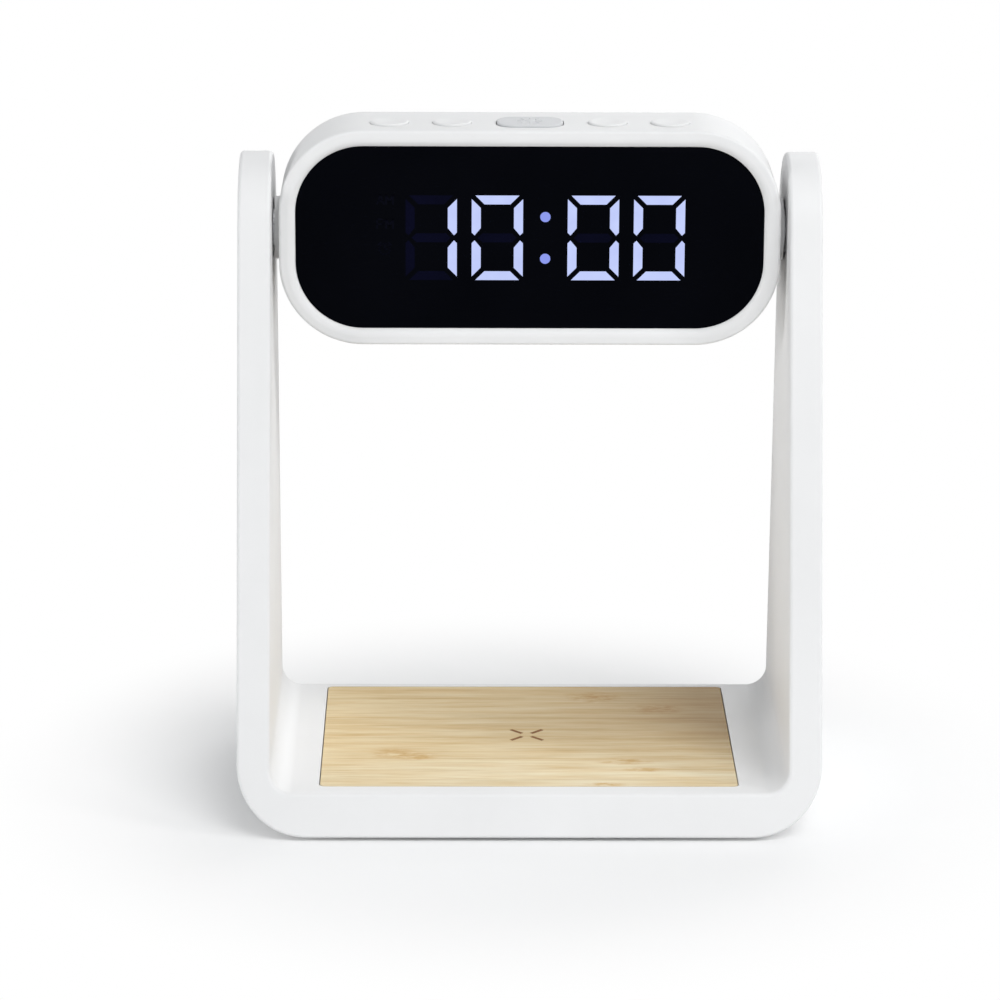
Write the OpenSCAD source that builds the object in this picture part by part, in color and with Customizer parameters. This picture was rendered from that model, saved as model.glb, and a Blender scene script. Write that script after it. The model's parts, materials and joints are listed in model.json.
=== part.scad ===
// Bedside clock lamp: a U-shaped stand with a bamboo charging pad in its base
// and a tilting head between its arms. Display at the front (-Y), lamp at the back.

/* [Frame] */
// Width over both arms
frame_w = 160; // [152:1:172]
// Depth of the stand where it meets the table
frame_d = 98; // [94:1:106]
// Thickness of the base, underside to top
base_t = 11.8; // [11.6:0.1:13.5]
// Thickness of each arm, side to side
arm_t = 9.1; // [9:0.1:10.5]
// Radius of the outer bottom corners, seen from the front
corner_r = 19; // [17:0.5:22]
// Radius of the inner bottom corners, seen from the front
inner_r = 6; // [4:0.5:8]
// Radius of the rounded arm tops, seen from the side
arm_top_r = 21.2; // [20:0.2:23]
// Height of the tilt axis above the table
pivot_h = 156.4; // [150:0.2:170]
// Distance of the tilt axis behind the middle of the base
pivot_y = 18.7; // [15:0.1:21]
// How far the rubber feet stand out below the base
foot_h = 1; // [0.8:0.1:1.5]
// Wall between the bay and the hollow of each arm
arm_wall = 3; // [2.8:0.1:3.2]
// Thickness of the inlaid outer arm covers
cover_t = 1.6; // [1.4:0.1:1.8]
// Width of the rim round the arm covers
cover_rim = 3; // [2.6:0.1:3.4]
// Gap round each inlaid cover
cover_gap = 0.3; // [0.2:0.05:0.4]

/* [Charging pad] */
// Width of the bamboo pad
pad_w = 114.7; // [105:0.1:118]
// Depth of the bamboo pad
pad_d = 84.3; // [80:0.1:87]
// Thickness of the bamboo pad
pad_t = 2; // [1.8:0.1:2.2]
// Distance of the pad's middle behind the middle of the base
pad_y = 2.7; // [2.6:0.05:3.4]
// Radius of the pad's corners
pad_r = 1.5; // [1:0.1:3]
// Gap round the pad in its recess
pad_gap = 0.3; // [0.2:0.05:0.4]
// Thickness of the adhesive under the pad
adhesive_t = 0.2; // [0.1:0.05:0.2]
// Depth of the burnt-in centring mark
mark_depth = 0.2; // [0.1:0.05:0.4]
// Width of each dash of the centring mark
mark_w = 1.25; // [0.6:0.05:1.4]
// Distance from the mark's middle to the inner end of each dash
mark_in = 1.8; // [1.5:0.1:3]
// Distance from the mark's middle to the outer end of each dash
mark_out = 6.4; // [4.5:0.1:7]

/* [Charger] */
// Outer radius of the charging coil
coil_r = 24; // [21:0.5:25]
// Inner radius of the charging coil
coil_in_r = 10; // [9:0.5:12]
// Thickness of the charging coil
coil_t = 1.2; // [1:0.1:1.3]
// Side of the square ferrite sheet behind the coil
ferrite_w = 52; // [50:0.5:54]
// Thickness of the ferrite sheet
ferrite_t = 0.8; // [0.6:0.1:0.9]
// Width of the charger board
charger_board_w = 60; // [58:0.5:64]
// Depth of the charger board
charger_board_d = 34; // [33:0.5:34]
// Thickness of the charger and switch boards
thin_board_t = 1.2; // [1:0.1:1.2]
// Width of the USB-C socket shell
usb_w = 8.94; // [8.9:0.02:9]
// Height of the USB-C socket shell
usb_h = 3.26; // [3.2:0.02:3.3]
// Length of the USB-C socket shell
usb_l = 7.6; // [7.2:0.1:8]
// Gap round the USB-C socket in the back wall
usb_gap = 0.3; // [0.2:0.05:0.4]

/* [Head] */
// Height of the head
head_h = 60.2; // [59:0.2:63]
// Depth of the head
head_d = 28; // [28:0.2:30]
// Corner radius of the head, seen from the front
head_r = 23.2; // [22.6:0.2:24.4]
// Wall of the head shell
head_wall = 2.2; // [2:0.1:2.4]
// Width of the rounded bezel round the display
bezel_w = 4.5; // [4.2:0.1:4.8]
// How far the display lies behind the bezel's crest
lens_recess = 1.2; // [1:0.1:1.4]
// Thickness of the display panel
lens_t = 2; // [1.8:0.1:2.2]
// Gap round the display panel
lens_gap = 0.1; // [0.05:0.01:0.1]
// Rounding of the shell's outer front edge
front_edge_r = 0.8; // [0.6:0.1:1.2]
// Rounding of the shell's rear edge
back_edge_r = 1.5; // [1:0.1:1.8]
// Thickness of the lamp diffuser
diffuser_t = 1.8; // [1.6:0.1:2]
// How far the diffuser lies inside the rear rim
diffuser_recess = 0.6; // [0.4:0.1:0.8]

/* [Digits] */
// Height of the digits
digit_h = 23.8; // [22:0.2:26]
// Width of each digit
digit_w = 14.1; // [13:0.1:15]
// Width of each lit bar
segment_w = 2.5; // [2.2:0.1:2.9]
// Distance between the two digits of a pair
digit_pitch = 18.17; // [17.5:0.01:18.6]
// Distance from the colon to the middle of its neighbour digits
colon_pitch = 13.19; // [12:0.01:13.6]
// Distance of the colon to the right of the display's middle
digit_offset = 4.25; // [3:0.05:5]
// Height of each colon dot above or below the middle
colon_rise = 5.87; // [5:0.01:7]
// Radius of each colon dot
colon_r = 1.4; // [1.2:0.05:1.8]
// Cut-back of the bar ends at the digit's corners
segment_cut = 1; // [0.8:0.1:1.2]

/* [Buttons] */
// Radius of the four round buttons
button_r = 5.2; // [4.8:0.1:5.4]
// Distance of the inner round buttons from the middle
inner_button_x = 21.4; // [20.5:0.1:22]
// Distance of the outer round buttons from the middle
outer_button_x = 38.7; // [37:0.1:40]
// Distance of the buttons in front of the head's middle
button_y = 2.6; // [2.4:0.1:2.8]
// How far the buttons stand out of the head, which is also their travel
button_rise = 0.6; // [0.5:0.05:0.7]
// Width of the lamp button
lamp_button_w = 18.2; // [17:0.1:18.6]
// Depth of the lamp button
lamp_button_d = 12.6; // [11.5:0.1:12.6]
// Corner radius of the lamp button
lamp_button_r = 4.8; // [3:0.1:5.5]
// Gap round the buttons in the shell
button_gap = 0.3; // [0.25:0.05:0.35]
// Depth of the dish in the round buttons
dish_depth = 0.35; // [0.2:0.05:0.4]

/* [Pivot] */
// Radius of the pivot shaft in its bush
shaft_r = 5; // [4.6:0.1:5.2]
// Radial clearance of the shaft in the bush
shaft_clear = 0.04; // [0.02:0.01:0.08]
// Radius of the threaded end that is clamped to the head
thread_r = 4; // [3.8:0.1:4.2]
// Radius of the wire bore through the shaft
wire_bore_r = 2.2; // [2:0.1:2.4]
// Radius of the collar between head and arm
collar_r = 8.7; // [8.6:0.1:9]
// Thickness of the collar
collar_t = 1.35; // [1.2:0.05:1.6]
// Gap between the collar and the arm
collar_gap = 0.55; // [0.4:0.05:0.7]
// Outer radius of the bush sleeve
bush_r = 6.4; // [6.3:0.1:6.5]
// Outer radius of the bush flange
bush_flange_r = 8.5; // [8.4:0.1:8.5]
// Thickness of the bush flange
bush_flange_t = 1.5; // [1.5:0.1:1.7]
// Radius of the stop peg on the collar
peg_r = 0.7; // [0.6:0.05:0.75]
// Distance of the stop peg from the tilt axis
peg_at_r = 7.3; // [7.25:0.05:7.35]
// Tilt from rest until the display faces down
tilt_down = 90; // [60:5:100]
// Tilt from rest until the lamp faces the front
tilt_up = 180; // [90:5:190]
// Spare turn at each end of the stop groove
stop_spare = 2; // [1:0.5:4]
// Radius of the wiring
wire_r = 0.75; // [0.5:0.05:0.8]

/* [Hidden] */
$fn = 64;
eps = 0.5;
white = [0.93, 0.93, 0.93];
black = [0.03, 0.03, 0.04];
board_green = [0.10, 0.35, 0.18];
metal = [0.72, 0.72, 0.74];
// small screws: radius of the thread and of the head, height of the head
board_screw_r = 0.9;
board_screw_head_r = 1.8;
rear_screw_r = 1.1;
rear_screw_head_r = 1.9;
base_screw_r = 1.25;
base_screw_head_r = 2.4;
screw_head_t = 1.2;
board_hole_r = 1.2;
foot_r = 6;
// heights in the base
base_bot = foot_h;
base_top = foot_h + base_t;
pad_floor = base_top - pad_t - adhesive_t;
cav_top = pad_floor - 1;
base_cover_t = 2;
cav_bot = base_bot + base_cover_t;
board_bot = cav_bot + 1.6;
board_top = board_bot + thin_board_t;
// plan of the base hollow
cav_x = frame_w / 2 - corner_r - 3;
cav_front = frame_d / 2 - 6.5;
cav_back = frame_d / 2 - 6;
ledge_w = 2;
boss_x = cav_x - 8;
boss_y = cav_front - 7.5;
// front and back lines of the side view, tangent to the round arm tops
dz_p = pivot_h - base_bot;
front_run = pivot_y + frame_d / 2;
back_run = frame_d / 2 - pivot_y;
front_a = atan2(front_run, dz_p) - asin(arm_top_r / norm([front_run, dz_p]));
back_a = atan2(back_run, dz_p) - asin(arm_top_r / norm([back_run, dz_p]));
function front_y(z, inset) = -frame_d / 2 + (z - base_bot) * tan(front_a) + inset / cos(front_a);
function back_y(z, inset) = frame_d / 2 - (z - base_bot) * tan(back_a) - inset / cos(back_a);
// positions across the arm, right-hand side
arm_in = frame_w / 2 - arm_t;
hollow_in = arm_in + arm_wall;
hollow_out = frame_w / 2 - cover_t;
cover_low = base_bot + corner_r + 4;
hollow_low = cover_low + 2;
hollow_rim = cover_rim + 1.6;
// head
head_w = 2 * (arm_in - collar_gap - collar_t);
head_side = head_w / 2;
crest = -head_d / 2;
lens_front = crest + lens_recess;
lens_back = lens_front + lens_t;
ledge_back = lens_back + 1.5;
ledge_u = bezel_w + 2;
bead_exact_r = (pow(bezel_w - head_wall, 2) + pow(lens_recess, 2)) / (2 * lens_recess);
bead_r = round(bead_exact_r * 100) / 100;
led_back = lens_back + 5.8;
clock_board_t = 1.6;
clock_back = led_back + clock_board_t;
tray_front = head_d / 2 - 9.5;
tray_floor = tray_front + 1.5;
diffuser_back = head_d / 2 - diffuser_recess;
diffuser_front = diffuser_back - diffuser_t;
tray_u = head_wall + 0.3;
tray_in_u = tray_u + 2.8;
diffuser_u = tray_u + 1.6;
corner_x = head_side - head_r;
corner_z = head_h / 2 - head_r;
rear_boss_at = (head_r - tray_in_u - 2.3) * cos(45);
rear_boss_x = corner_x + rear_boss_at;
rear_boss_z = corner_z + rear_boss_at;
clock_boss_x = head_side - 8.4;
clock_boss_z = 12;
clock_boss_r = 2.2;
clock_board_rim = 2.6;
// display block, centred on the colon, between the bosses of the clock board
led_body_w = 2 * (clock_boss_x - clock_boss_r - digit_offset - 6.25);
led_body_h = digit_h + 8.8;
// lamp board between the rear screws, with two rows of lamps
lamp_board_w = round(20 * (rear_boss_x - rear_screw_head_r - 1.9)) / 10;
lamp_board_h = head_h - 2 * (tray_in_u + 7.8);
lamp_board_t = 1;
lamps_in_row = 8;
lamp_pitch = lamp_board_w / lamps_in_row;
lamp_size = [3.5, 0.7, 2.8];
// buttons, measured in the head
top_z = head_h / 2;
under_z = top_z - head_wall;
switch_board_top = under_z - 7.2;
switch_body_h = 3.3;
switch_body_w = 6;
stem_r = 1.6;
switch_top = switch_board_top + switch_body_h;
plunger_top = switch_top + 1;
flange_top = under_z - 0.1;
flange_t = 1.2;
flange_lip = 0.9;
hang_x = (lamp_button_w / 2 + inner_button_x - button_r) / 2;
button_xs = [-outer_button_x, -inner_button_x, 0, inner_button_x, outer_button_x];
// pivot, right-hand side, measured along X
bolt_flange = hollow_in + 1.3;
bolt_flange_t = 1.2;
nut_t = 3.2;
// wiring
wire_x = bolt_flange + bolt_flange_t + wire_r + 0.25;
wire_y = charger_y() - 7.5;
head_plug_x = head_side - 16.5;
duct_r = wire_r + 0.75;
duct_z = base_bot + 6.5;
duct_x = frame_w / 2 - 8.8;

// helpers
module rrect(w, h, r) {
    square([w, h - 2 * r], center = true);
    square([w - 2 * r, h], center = true);
    for (sx = [-1, 1]) for (sz = [-1, 1]) translate([sx * (w / 2 - r), sz * (h / 2 - r)]) circle(r);
}
module span_x(x0, x1) {
    translate([x0, 0, 0]) rotate([90, 0, 90]) linear_extrude(x1 - x0) children();
}
module span_y(y0, y1) {
    translate([0, y1, 0]) rotate([90, 0, 0]) linear_extrude(y1 - y0) children();
}
module span_z(z0, z1) {
    translate([0, 0, z0]) linear_extrude(z1 - z0) children();
}
module rod_x(x0, x1, r) {
    translate([x0, 0, 0]) rotate([0, 90, 0]) cylinder(r = r, h = x1 - x0);
}
module rod_y(y0, y1, r) {
    translate([0, y1, 0]) rotate([90, 0, 0]) cylinder(r = r, h = y1 - y0);
}
module at_pivot() {
    translate([0, pivot_y, pivot_h]) children();
}
module side(s) {
    mirror([s < 0 ? 1 : 0, 0, 0]) children();
}
module four(x, y) {
    for (sx = [-1, 1]) for (sy = [-1, 1]) translate([sx * x, sy * y, 0]) children();
}
// rounded rectangle of the head, drawn in by u from its outside
module head_outline(u) {
    rrect(head_w - 2 * u, head_h - 2 * u, head_r - u);
}
// sweeps a wall section round the head: X of the section points outwards, Y is depth
module head_ring() {
    for (c = [[1, -1, 0], [-1, -1, 90], [-1, 1, 180], [1, 1, 270]])
        translate([c[0] * corner_x, 0, c[1] * corner_z])
            rotate([0, c[2], 0])
                rotate([-90, 0, 0])
                    rotate_extrude(angle = 90)
                        translate([head_r, 0])
                            children();
    for (k = [0 : 3]) {
        run = k % 2 == 0 ? corner_x : corner_z;
        out = k % 2 == 0 ? head_h / 2 : head_side;
        rotate([0, k * 90, 0])
            translate([run, 0, out])
                rotate([0, -90, 0])
                    linear_extrude(2 * run)
                        children();
    }
}
// side view of the arms between two places across, drawn in by inset and cut off level at z_low
module side_view(x0, x1, inset, z_low) {
    r = arm_top_r - inset;
    // the straight lines end a hair inside the round top
    t = r - 0.05;
    span_x(x0, x1)
        polygon([
            [front_y(z_low, inset), z_low],
            [pivot_y - t * cos(front_a), pivot_h + t * sin(front_a)],
            [pivot_y, pivot_h + r * 0.85],
            [pivot_y + t * cos(back_a), pivot_h + t * sin(back_a)],
            [back_y(z_low, inset), z_low]
        ]);
    at_pivot() rod_x(x0, x1, r);
}
module front_view() {
    top = pivot_h + arm_top_r + 5;
    low = base_bot + corner_r;
    in_low = base_top + inner_r;
    difference() {
        union() {
            translate([-frame_w / 2, low]) square([frame_w, top - low]);
            translate([-frame_w / 2 + corner_r, base_bot]) square([frame_w - 2 * corner_r, corner_r]);
            for (s = [-1, 1]) translate([s * (frame_w / 2 - corner_r), low]) circle(corner_r, $fn = 96);
        }
        translate([-arm_in, in_low]) square([2 * arm_in, top]);
        translate([-arm_in + inner_r, base_top]) square([2 * (arm_in - inner_r), inner_r + eps]);
        for (s = [-1, 1]) translate([s * (arm_in - inner_r), in_low]) circle(inner_r);
    }
}
// places of the arm cover pegs, as depth and height
function peg_places() = [
    [front_y(cover_low + 16, 11), cover_low + 16],
    [back_y(cover_low + 16, 11), cover_low + 16],
    [front_y(cover_low + 70, 11), cover_low + 70],
    [back_y(cover_low + 70, 11), cover_low + 70],
    [pivot_y - 10, pivot_h - 20],
    [pivot_y + 10, pivot_h - 20]
];
module arm_hollow() {
    side_view(hollow_out, frame_w / 2 + eps, cover_rim, cover_low);
    difference() {
        side_view(hollow_in, hollow_out + 0.01, hollow_rim, hollow_low);
        for (p = peg_places()) translate([0, p[0], p[1]]) rod_x(hollow_in - eps, hollow_out, 2.8);
    }
    for (p = peg_places()) translate([0, p[0], p[1]]) rod_x(hollow_out - 3.3, hollow_out + eps, 1.2);
    translate([0, pivot_y, pivot_h]) {
        rod_x(arm_in - eps, arm_in + bush_flange_t, bush_flange_r);
        rod_x(arm_in, hollow_in + eps, bush_r);
    }
}
// way for the wires through the left bottom corner
module wire_duct() {
    up = [wire_x - 1.2 - duct_x, hollow_low + 1 - duct_z];
    side(-1) translate([0, wire_y, duct_z]) {
        rod_x(cav_x - eps, duct_x, duct_r);
        translate([duct_x, 0, 0]) sphere(duct_r + 0.15);
        translate([duct_x, 0, 0]) rotate([0, atan2(up[0], up[1]), 0]) cylinder(r = duct_r, h = norm(up));
    }
}

// the stand
module u_frame() color(white) {
    difference() {
        intersection() {
            span_y(-frame_d, frame_d) front_view();
            side_view(-frame_w, frame_w, 0, base_bot);
        }
        translate([0, pad_y, 0])
            span_z(pad_floor, base_top + eps)
                rrect(pad_w + 2 * pad_gap, pad_d + 2 * pad_gap, pad_r + pad_gap);
        span_z(base_bot - eps, cav_bot)
            translate([-cav_x - ledge_w, -cav_front - ledge_w])
                square([2 * (cav_x + ledge_w), cav_front + cav_back + 2 * ledge_w]);
        difference() {
            span_z(cav_bot - 0.01, cav_top)
                translate([-cav_x, -cav_front])
                    square([2 * cav_x, cav_front + cav_back]);
            four(boss_x, boss_y) translate([0, 0, cav_bot + 1.5]) cylinder(r = 3.5, h = base_t);
        }
        four(boss_x, boss_y) translate([0, 0, cav_bot]) cylinder(r = base_screw_r, h = cav_top - cav_bot);
        side(1) arm_hollow();
        side(-1) arm_hollow();
        wire_duct();
        translate([0, 0, board_top + usb_h / 2])
            span_y(cav_back - eps, frame_d / 2 + eps)
                rrect(usb_w + 2 * usb_gap, usb_h + 2 * usb_gap, 1.2 + usb_gap);
    }
}
module arm_cover() color(white) {
    side_view(hollow_out, frame_w / 2, cover_rim + cover_gap, cover_low + cover_gap);
    for (p = peg_places()) translate([0, p[0], p[1]]) rod_x(hollow_out - 3, hollow_out + 0.2, 1.2);
}
module left_arm_cover() side(-1) arm_cover();
module right_arm_cover() side(1) arm_cover();
module base_cover() color(white) {
    x = cav_x + ledge_w - cover_gap;
    difference() {
        union() {
            span_z(base_bot, cav_bot)
                translate([-x, -cav_front - ledge_w + cover_gap])
                    square([2 * x, cav_front + cav_back + 2 * ledge_w - 2 * cover_gap]);
            four(boss_x, boss_y) translate([0, 0, base_bot + 0.5]) cylinder(r = foot_r + 1.2, h = 3);
            translate([0, charger_y(), 0])
                four(charger_hole_x(), charger_hole_y())
                    translate([0, 0, base_bot + 0.5])
                        cylinder(r = 2.4, h = board_bot - base_bot - 0.5);
        }
        four(boss_x, boss_y) {
            translate([0, 0, base_bot - eps]) cylinder(r = foot_r + cover_gap, h = 1 + eps);
            translate([0, 0, base_bot]) cylinder(r = base_screw_head_r + 0.3, h = 2.5);
            translate([0, 0, base_bot]) cylinder(r = base_screw_r + 0.35, h = 5);
        }
        translate([0, charger_y(), 0])
            four(charger_hole_x(), charger_hole_y())
                translate([0, 0, base_bot + 1])
                    cylinder(r = board_screw_r, h = 5);
    }
}
module base_screws() color(metal) {
    four(boss_x, boss_y) {
        translate([0, 0, base_bot + 1.1]) cylinder(r = base_screw_head_r, h = screw_head_t + 0.2);
        translate([0, 0, base_bot + 2]) cylinder(r = base_screw_r, h = cav_top - base_bot - 2.6);
    }
}
module rubber_feet() color([0.25, 0.25, 0.26]) {
    four(boss_x, boss_y) {
        cylinder(r1 = foot_r - 0.3, r2 = foot_r, h = 0.3);
        translate([0, 0, 0.3]) cylinder(r = foot_r, h = foot_h + 0.7);
    }
}
module bamboo_pad() color([0.85, 0.70, 0.48]) {
    translate([0, pad_y, 0])
        difference() {
            span_z(pad_floor + adhesive_t, base_top) rrect(pad_w, pad_d, pad_r);
            for (a = [45 : 90 : 315])
                rotate([0, 0, a])
                    translate([mark_in, -mark_w / 2, base_top - mark_depth])
                        cube([mark_out - mark_in, mark_w, 1]);
        }
}
module pad_adhesive() color([0.8, 0.8, 0.75]) {
    translate([0, pad_y, 0]) span_z(pad_floor, pad_floor + adhesive_t) rrect(pad_w - 4, pad_d - 4, 2);
}

// the charger in the base
function charger_y() = cav_back - charger_board_d / 2 - 0.5;
function charger_hole_x() = charger_board_w / 2 - 4;
function charger_hole_y() = charger_board_d / 2 - 4;
module charging_coil() color([0.72, 0.42, 0.2]) {
    translate([0, pad_y, cav_top - coil_t])
        difference() {
            cylinder(r = coil_r, h = coil_t);
            translate([0, 0, -eps]) cylinder(r = coil_in_r, h = coil_t + 2 * eps);
        }
}
module ferrite_sheet() color([0.2, 0.2, 0.21]) {
    z = cav_top - coil_t - ferrite_t;
    translate([0, pad_y, 0]) span_z(z, z + ferrite_t) square(ferrite_w, center = true);
}
module charger_board() color(board_green) {
    translate([0, charger_y(), 0])
        difference() {
            span_z(board_bot, board_top) square([charger_board_w, charger_board_d], center = true);
            four(charger_hole_x(), charger_hole_y())
                translate([0, 0, board_bot - eps])
                    cylinder(r = board_hole_r, h = thin_board_t + 2 * eps);
        }
}
module charger_components() color(black) {
    y = charger_y();
    translate([-3, y - 4, board_top]) cube([6, 6, 0.9]);
    translate([8, y - 8, board_top]) cube([7, 7, 1.5]);
    translate([-18, y - 8, board_top]) cube([7, 7, 1.5]);
    translate([10, y + 5, board_top]) cube([4, 5, 1.1]);
    translate([-14, y + 5, board_top]) cube([3, 3, 1]);
    translate([-charger_board_w / 2 + 1, wire_y - 2.5, board_top]) cube([2.5, 5, duct_z + 1.2 - board_top]);
}
module charger_board_screws() color(metal) {
    translate([0, charger_y(), 0])
        four(charger_hole_x(), charger_hole_y()) {
            translate([0, 0, board_top]) cylinder(r = board_screw_head_r, h = screw_head_t);
            translate([0, 0, base_bot + 1.2]) cylinder(r = board_screw_r, h = board_top - base_bot - 1);
        }
}
module usb_c_socket() color(metal) {
    mouth = back_y(board_top + usb_h, 0) - 0.3;
    translate([0, 0, board_top + usb_h / 2]) {
        difference() {
            span_y(mouth - usb_l, mouth) rrect(usb_w, usb_h, 1.2);
            span_y(mouth - usb_l + 1, mouth + eps) rrect(usb_w - 0.6, usb_h - 0.6, 0.9);
        }
        translate([-3.35, mouth - usb_l + 0.5, -0.35]) cube([6.7, usb_l - 1.3, 0.7]);
    }
}

// the tilt pivots
module bush() color([0.66, 0.66, 0.67]) {
    turn = tilt_down + tilt_up + 2 * stop_spare + 2 * asin((peg_r + 0.1) / peg_at_r);
    at_pivot() difference() {
        union() {
            rod_x(arm_in, arm_in + bush_flange_t, bush_flange_r);
            rod_x(arm_in, hollow_in, bush_r);
        }
        rod_x(arm_in - eps, hollow_in + eps, shaft_r + shaft_clear);
        // stop groove, open towards the collar; its middle is where the peg stands at mid-tilt
        translate([arm_in + 1.1, 0, 0])
            rotate([0, -90, 0])
                rotate([0, 0, 90 + (tilt_up - tilt_down) / 2 - turn / 2])
                    rotate_extrude(angle = turn)
                        translate([peg_at_r - peg_r - 0.1, 0])
                            square([2 * peg_r + 0.2, 1.1 + eps]);
    }
}
module friction_washer() color([0.55, 0.55, 0.57]) {
    at_pivot() difference() {
        rod_x(hollow_in, bolt_flange - 0.05, 7.8);
        rod_x(hollow_in - eps, bolt_flange + eps, shaft_r + 0.4);
    }
}
module pivot_bolt() color(metal) {
    at_pivot() difference() {
        union() {
            rod_x(bolt_flange, bolt_flange + bolt_flange_t, 7.8);
            rod_x(head_side + collar_t, bolt_flange + 0.1, shaft_r);
            rod_x(head_side - head_wall - nut_t - 0.6, head_side + collar_t + 0.1, thread_r);
        }
        rod_x(head_side - 20, frame_w, wire_bore_r);
        for (s = [-1, 1]) translate([0, s * 5.2, 0]) rod_x(bolt_flange + 0.4, frame_w, 0.8);
    }
}
module collar() color(white) {
    at_pivot() {
        difference() {
            rod_x(head_side, head_side + collar_t, collar_r);
            rod_x(head_side - eps, head_side + collar_t + eps, thread_r + 0.05);
        }
        translate([0, peg_at_r, 0]) rod_x(head_side + collar_t - 0.5, arm_in + 0.8, peg_r);
    }
}
module pivot_nut() color(metal) {
    at_pivot() difference() {
        translate([head_side - head_wall - nut_t, 0, 0])
            rotate([0, 90, 0])
                cylinder(r = 7.2, h = nut_t, $fn = 6);
        rod_x(head_side - 20, head_side, thread_r);
    }
}
module left_bush() side(-1) bush();
module right_bush() side(1) bush();
module left_friction_washer() side(-1) friction_washer();
module right_friction_washer() side(1) friction_washer();
module left_pivot_bolt() side(-1) pivot_bolt();
module right_pivot_bolt() side(1) pivot_bolt();
module left_collar() side(-1) collar();
module right_collar() side(1) collar();
module left_pivot_nut() side(-1) pivot_nut();
module right_pivot_nut() side(1) pivot_nut();

// wiring: up the left arm, then in along the tilt axis
module wire_leg(a, b) {
    d = b - a;
    translate(a) sphere(wire_r + 0.1, $fn = 24);
    translate(a)
        rotate([0, acos(d[2] / norm(d)), atan2(d[1], d[0])])
            cylinder(r = wire_r, h = norm(d), $fn = 24);
}
function wire_path() = [
    [-charger_board_w / 2 + 1, wire_y, duct_z],
    [-duct_x, wire_y, duct_z],
    [-wire_x + 1.2, wire_y, hollow_low + 1],
    [-wire_x, wire_y + 3, hollow_low + 25],
    [-wire_x, pivot_y, pivot_h],
    [-hollow_in - 0.3, pivot_y, pivot_h]
];
module arm_harness() color([0.2, 0.2, 0.22]) {
    p = wire_path();
    difference() {
        for (i = [0 : len(p) - 2]) wire_leg(p[i], p[i + 1]);
        // square-cut end at the connector
        translate([p[0][0], wire_y - 3, duct_z - 3]) cube(6);
    }
}
module head_harness() color([0.2, 0.2, 0.22]) {
    at_pivot() rod_x(-hollow_in, -head_plug_x, wire_r, $fn = 24);
}

// the head
module shell_section() {
    translate([-head_wall, crest + front_edge_r])
        square([head_wall, head_d - front_edge_r - back_edge_r]);
    translate([-head_wall, crest]) square([head_wall - front_edge_r, front_edge_r + eps]);
    translate([-head_wall, head_d / 2 - back_edge_r - eps])
        square([head_wall - back_edge_r, back_edge_r + eps]);
    intersection() {
        translate([-back_edge_r, head_d / 2 - back_edge_r]) circle(back_edge_r);
        translate([-back_edge_r, head_d / 2 - back_edge_r]) square(back_edge_r);
    }
    translate([-bezel_w, crest + head_wall]) square([bezel_w, lens_recess + lens_t - head_wall]);
    intersection() {
        translate([-front_edge_r, crest + front_edge_r]) circle(front_edge_r);
        translate([-front_edge_r, crest]) square(front_edge_r);
    }
    intersection() {
        translate([-head_wall, crest + bead_r]) circle(bead_r);
        translate([-bezel_w, crest]) square([bezel_w - head_wall, head_wall]);
    }
    translate([-ledge_u, lens_back]) square([ledge_u, ledge_back - lens_back]);
}
module rear_bosses() {
    for (sx = [-1, 1]) for (sz = [-1, 1]) translate([sx * rear_boss_x, 0, sz * rear_boss_z]) {
        rod_y(lens_back + 0.3, tray_front, 3);
        rotate([0, sz * sx > 0 ? -45 : 45, 0])
            translate([sx > 0 ? 0 : -head_r + rear_boss_at / cos(45) + 1, lens_back + 0.8, -1])
                cube([head_r - rear_boss_at / cos(45) - 1, tray_front - lens_back - 1.6, 2]);
    }
}
module clock_bosses() {
    for (sx = [-1, 1]) for (sz = [-1, 1])
        translate([sx * clock_boss_x, 0, sz * clock_boss_z])
            rod_y(lens_back + 0.3, led_back, clock_boss_r);
}
module head_shell() color(white) {
    at_pivot() difference() {
        union() {
            head_ring() shell_section();
            rear_bosses();
            clock_bosses();
            for (s = [-1, 1])
                translate([s * hang_x, -button_y, switch_board_top])
                    cylinder(r = 2.1, h = top_z - 1 - switch_board_top);
        }
        for (sx = [-1, 1]) for (sz = [-1, 1]) {
            translate([sx * rear_boss_x, 0, sz * rear_boss_z])
                rod_y(tray_front - 7, tray_front + eps, rear_screw_r);
            translate([sx * clock_boss_x, 0, sz * clock_boss_z])
                rod_y(led_back - 4, led_back + eps, board_screw_r);
        }
        for (s = [-1, 1])
            translate([s * hang_x, -button_y, switch_board_top - eps])
                cylinder(r = board_screw_r, h = 5 + eps);
        rod_x(-head_w, head_w, thread_r + 0.05);
        for (x = [-outer_button_x, -inner_button_x, inner_button_x, outer_button_x])
            translate([x, -button_y, under_z - 1]) cylinder(r = button_r + button_gap, h = 5);
        translate([0, -button_y, 0])
            span_z(under_z - 1, top_z + eps)
                rrect(
                    lamp_button_w + 2 * button_gap,
                    lamp_button_d + 2 * button_gap,
                    lamp_button_r + button_gap
                );
    }
}
module back_cover() color(white) {
    at_pivot() difference() {
        span_y(tray_front, diffuser_back) head_outline(tray_u);
        span_y(tray_floor, diffuser_front + 0.01) head_outline(tray_in_u);
        span_y(diffuser_front, head_d) head_outline(diffuser_u);
        for (sx = [-1, 1]) for (sz = [-1, 1])
            translate([sx * rear_boss_x, 0, sz * rear_boss_z])
                rod_y(tray_front - eps, tray_floor + eps, rear_screw_r + 0.3);
        // room for the pivot nuts
        for (s = [0, 1])
            mirror([s, 0, 0])
                translate([head_side - head_wall - nut_t - 0.4, tray_front - eps, -8])
                    cube([nut_t + 2 * head_wall, 7 - tray_front + eps, 16]);
    }
}
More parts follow.
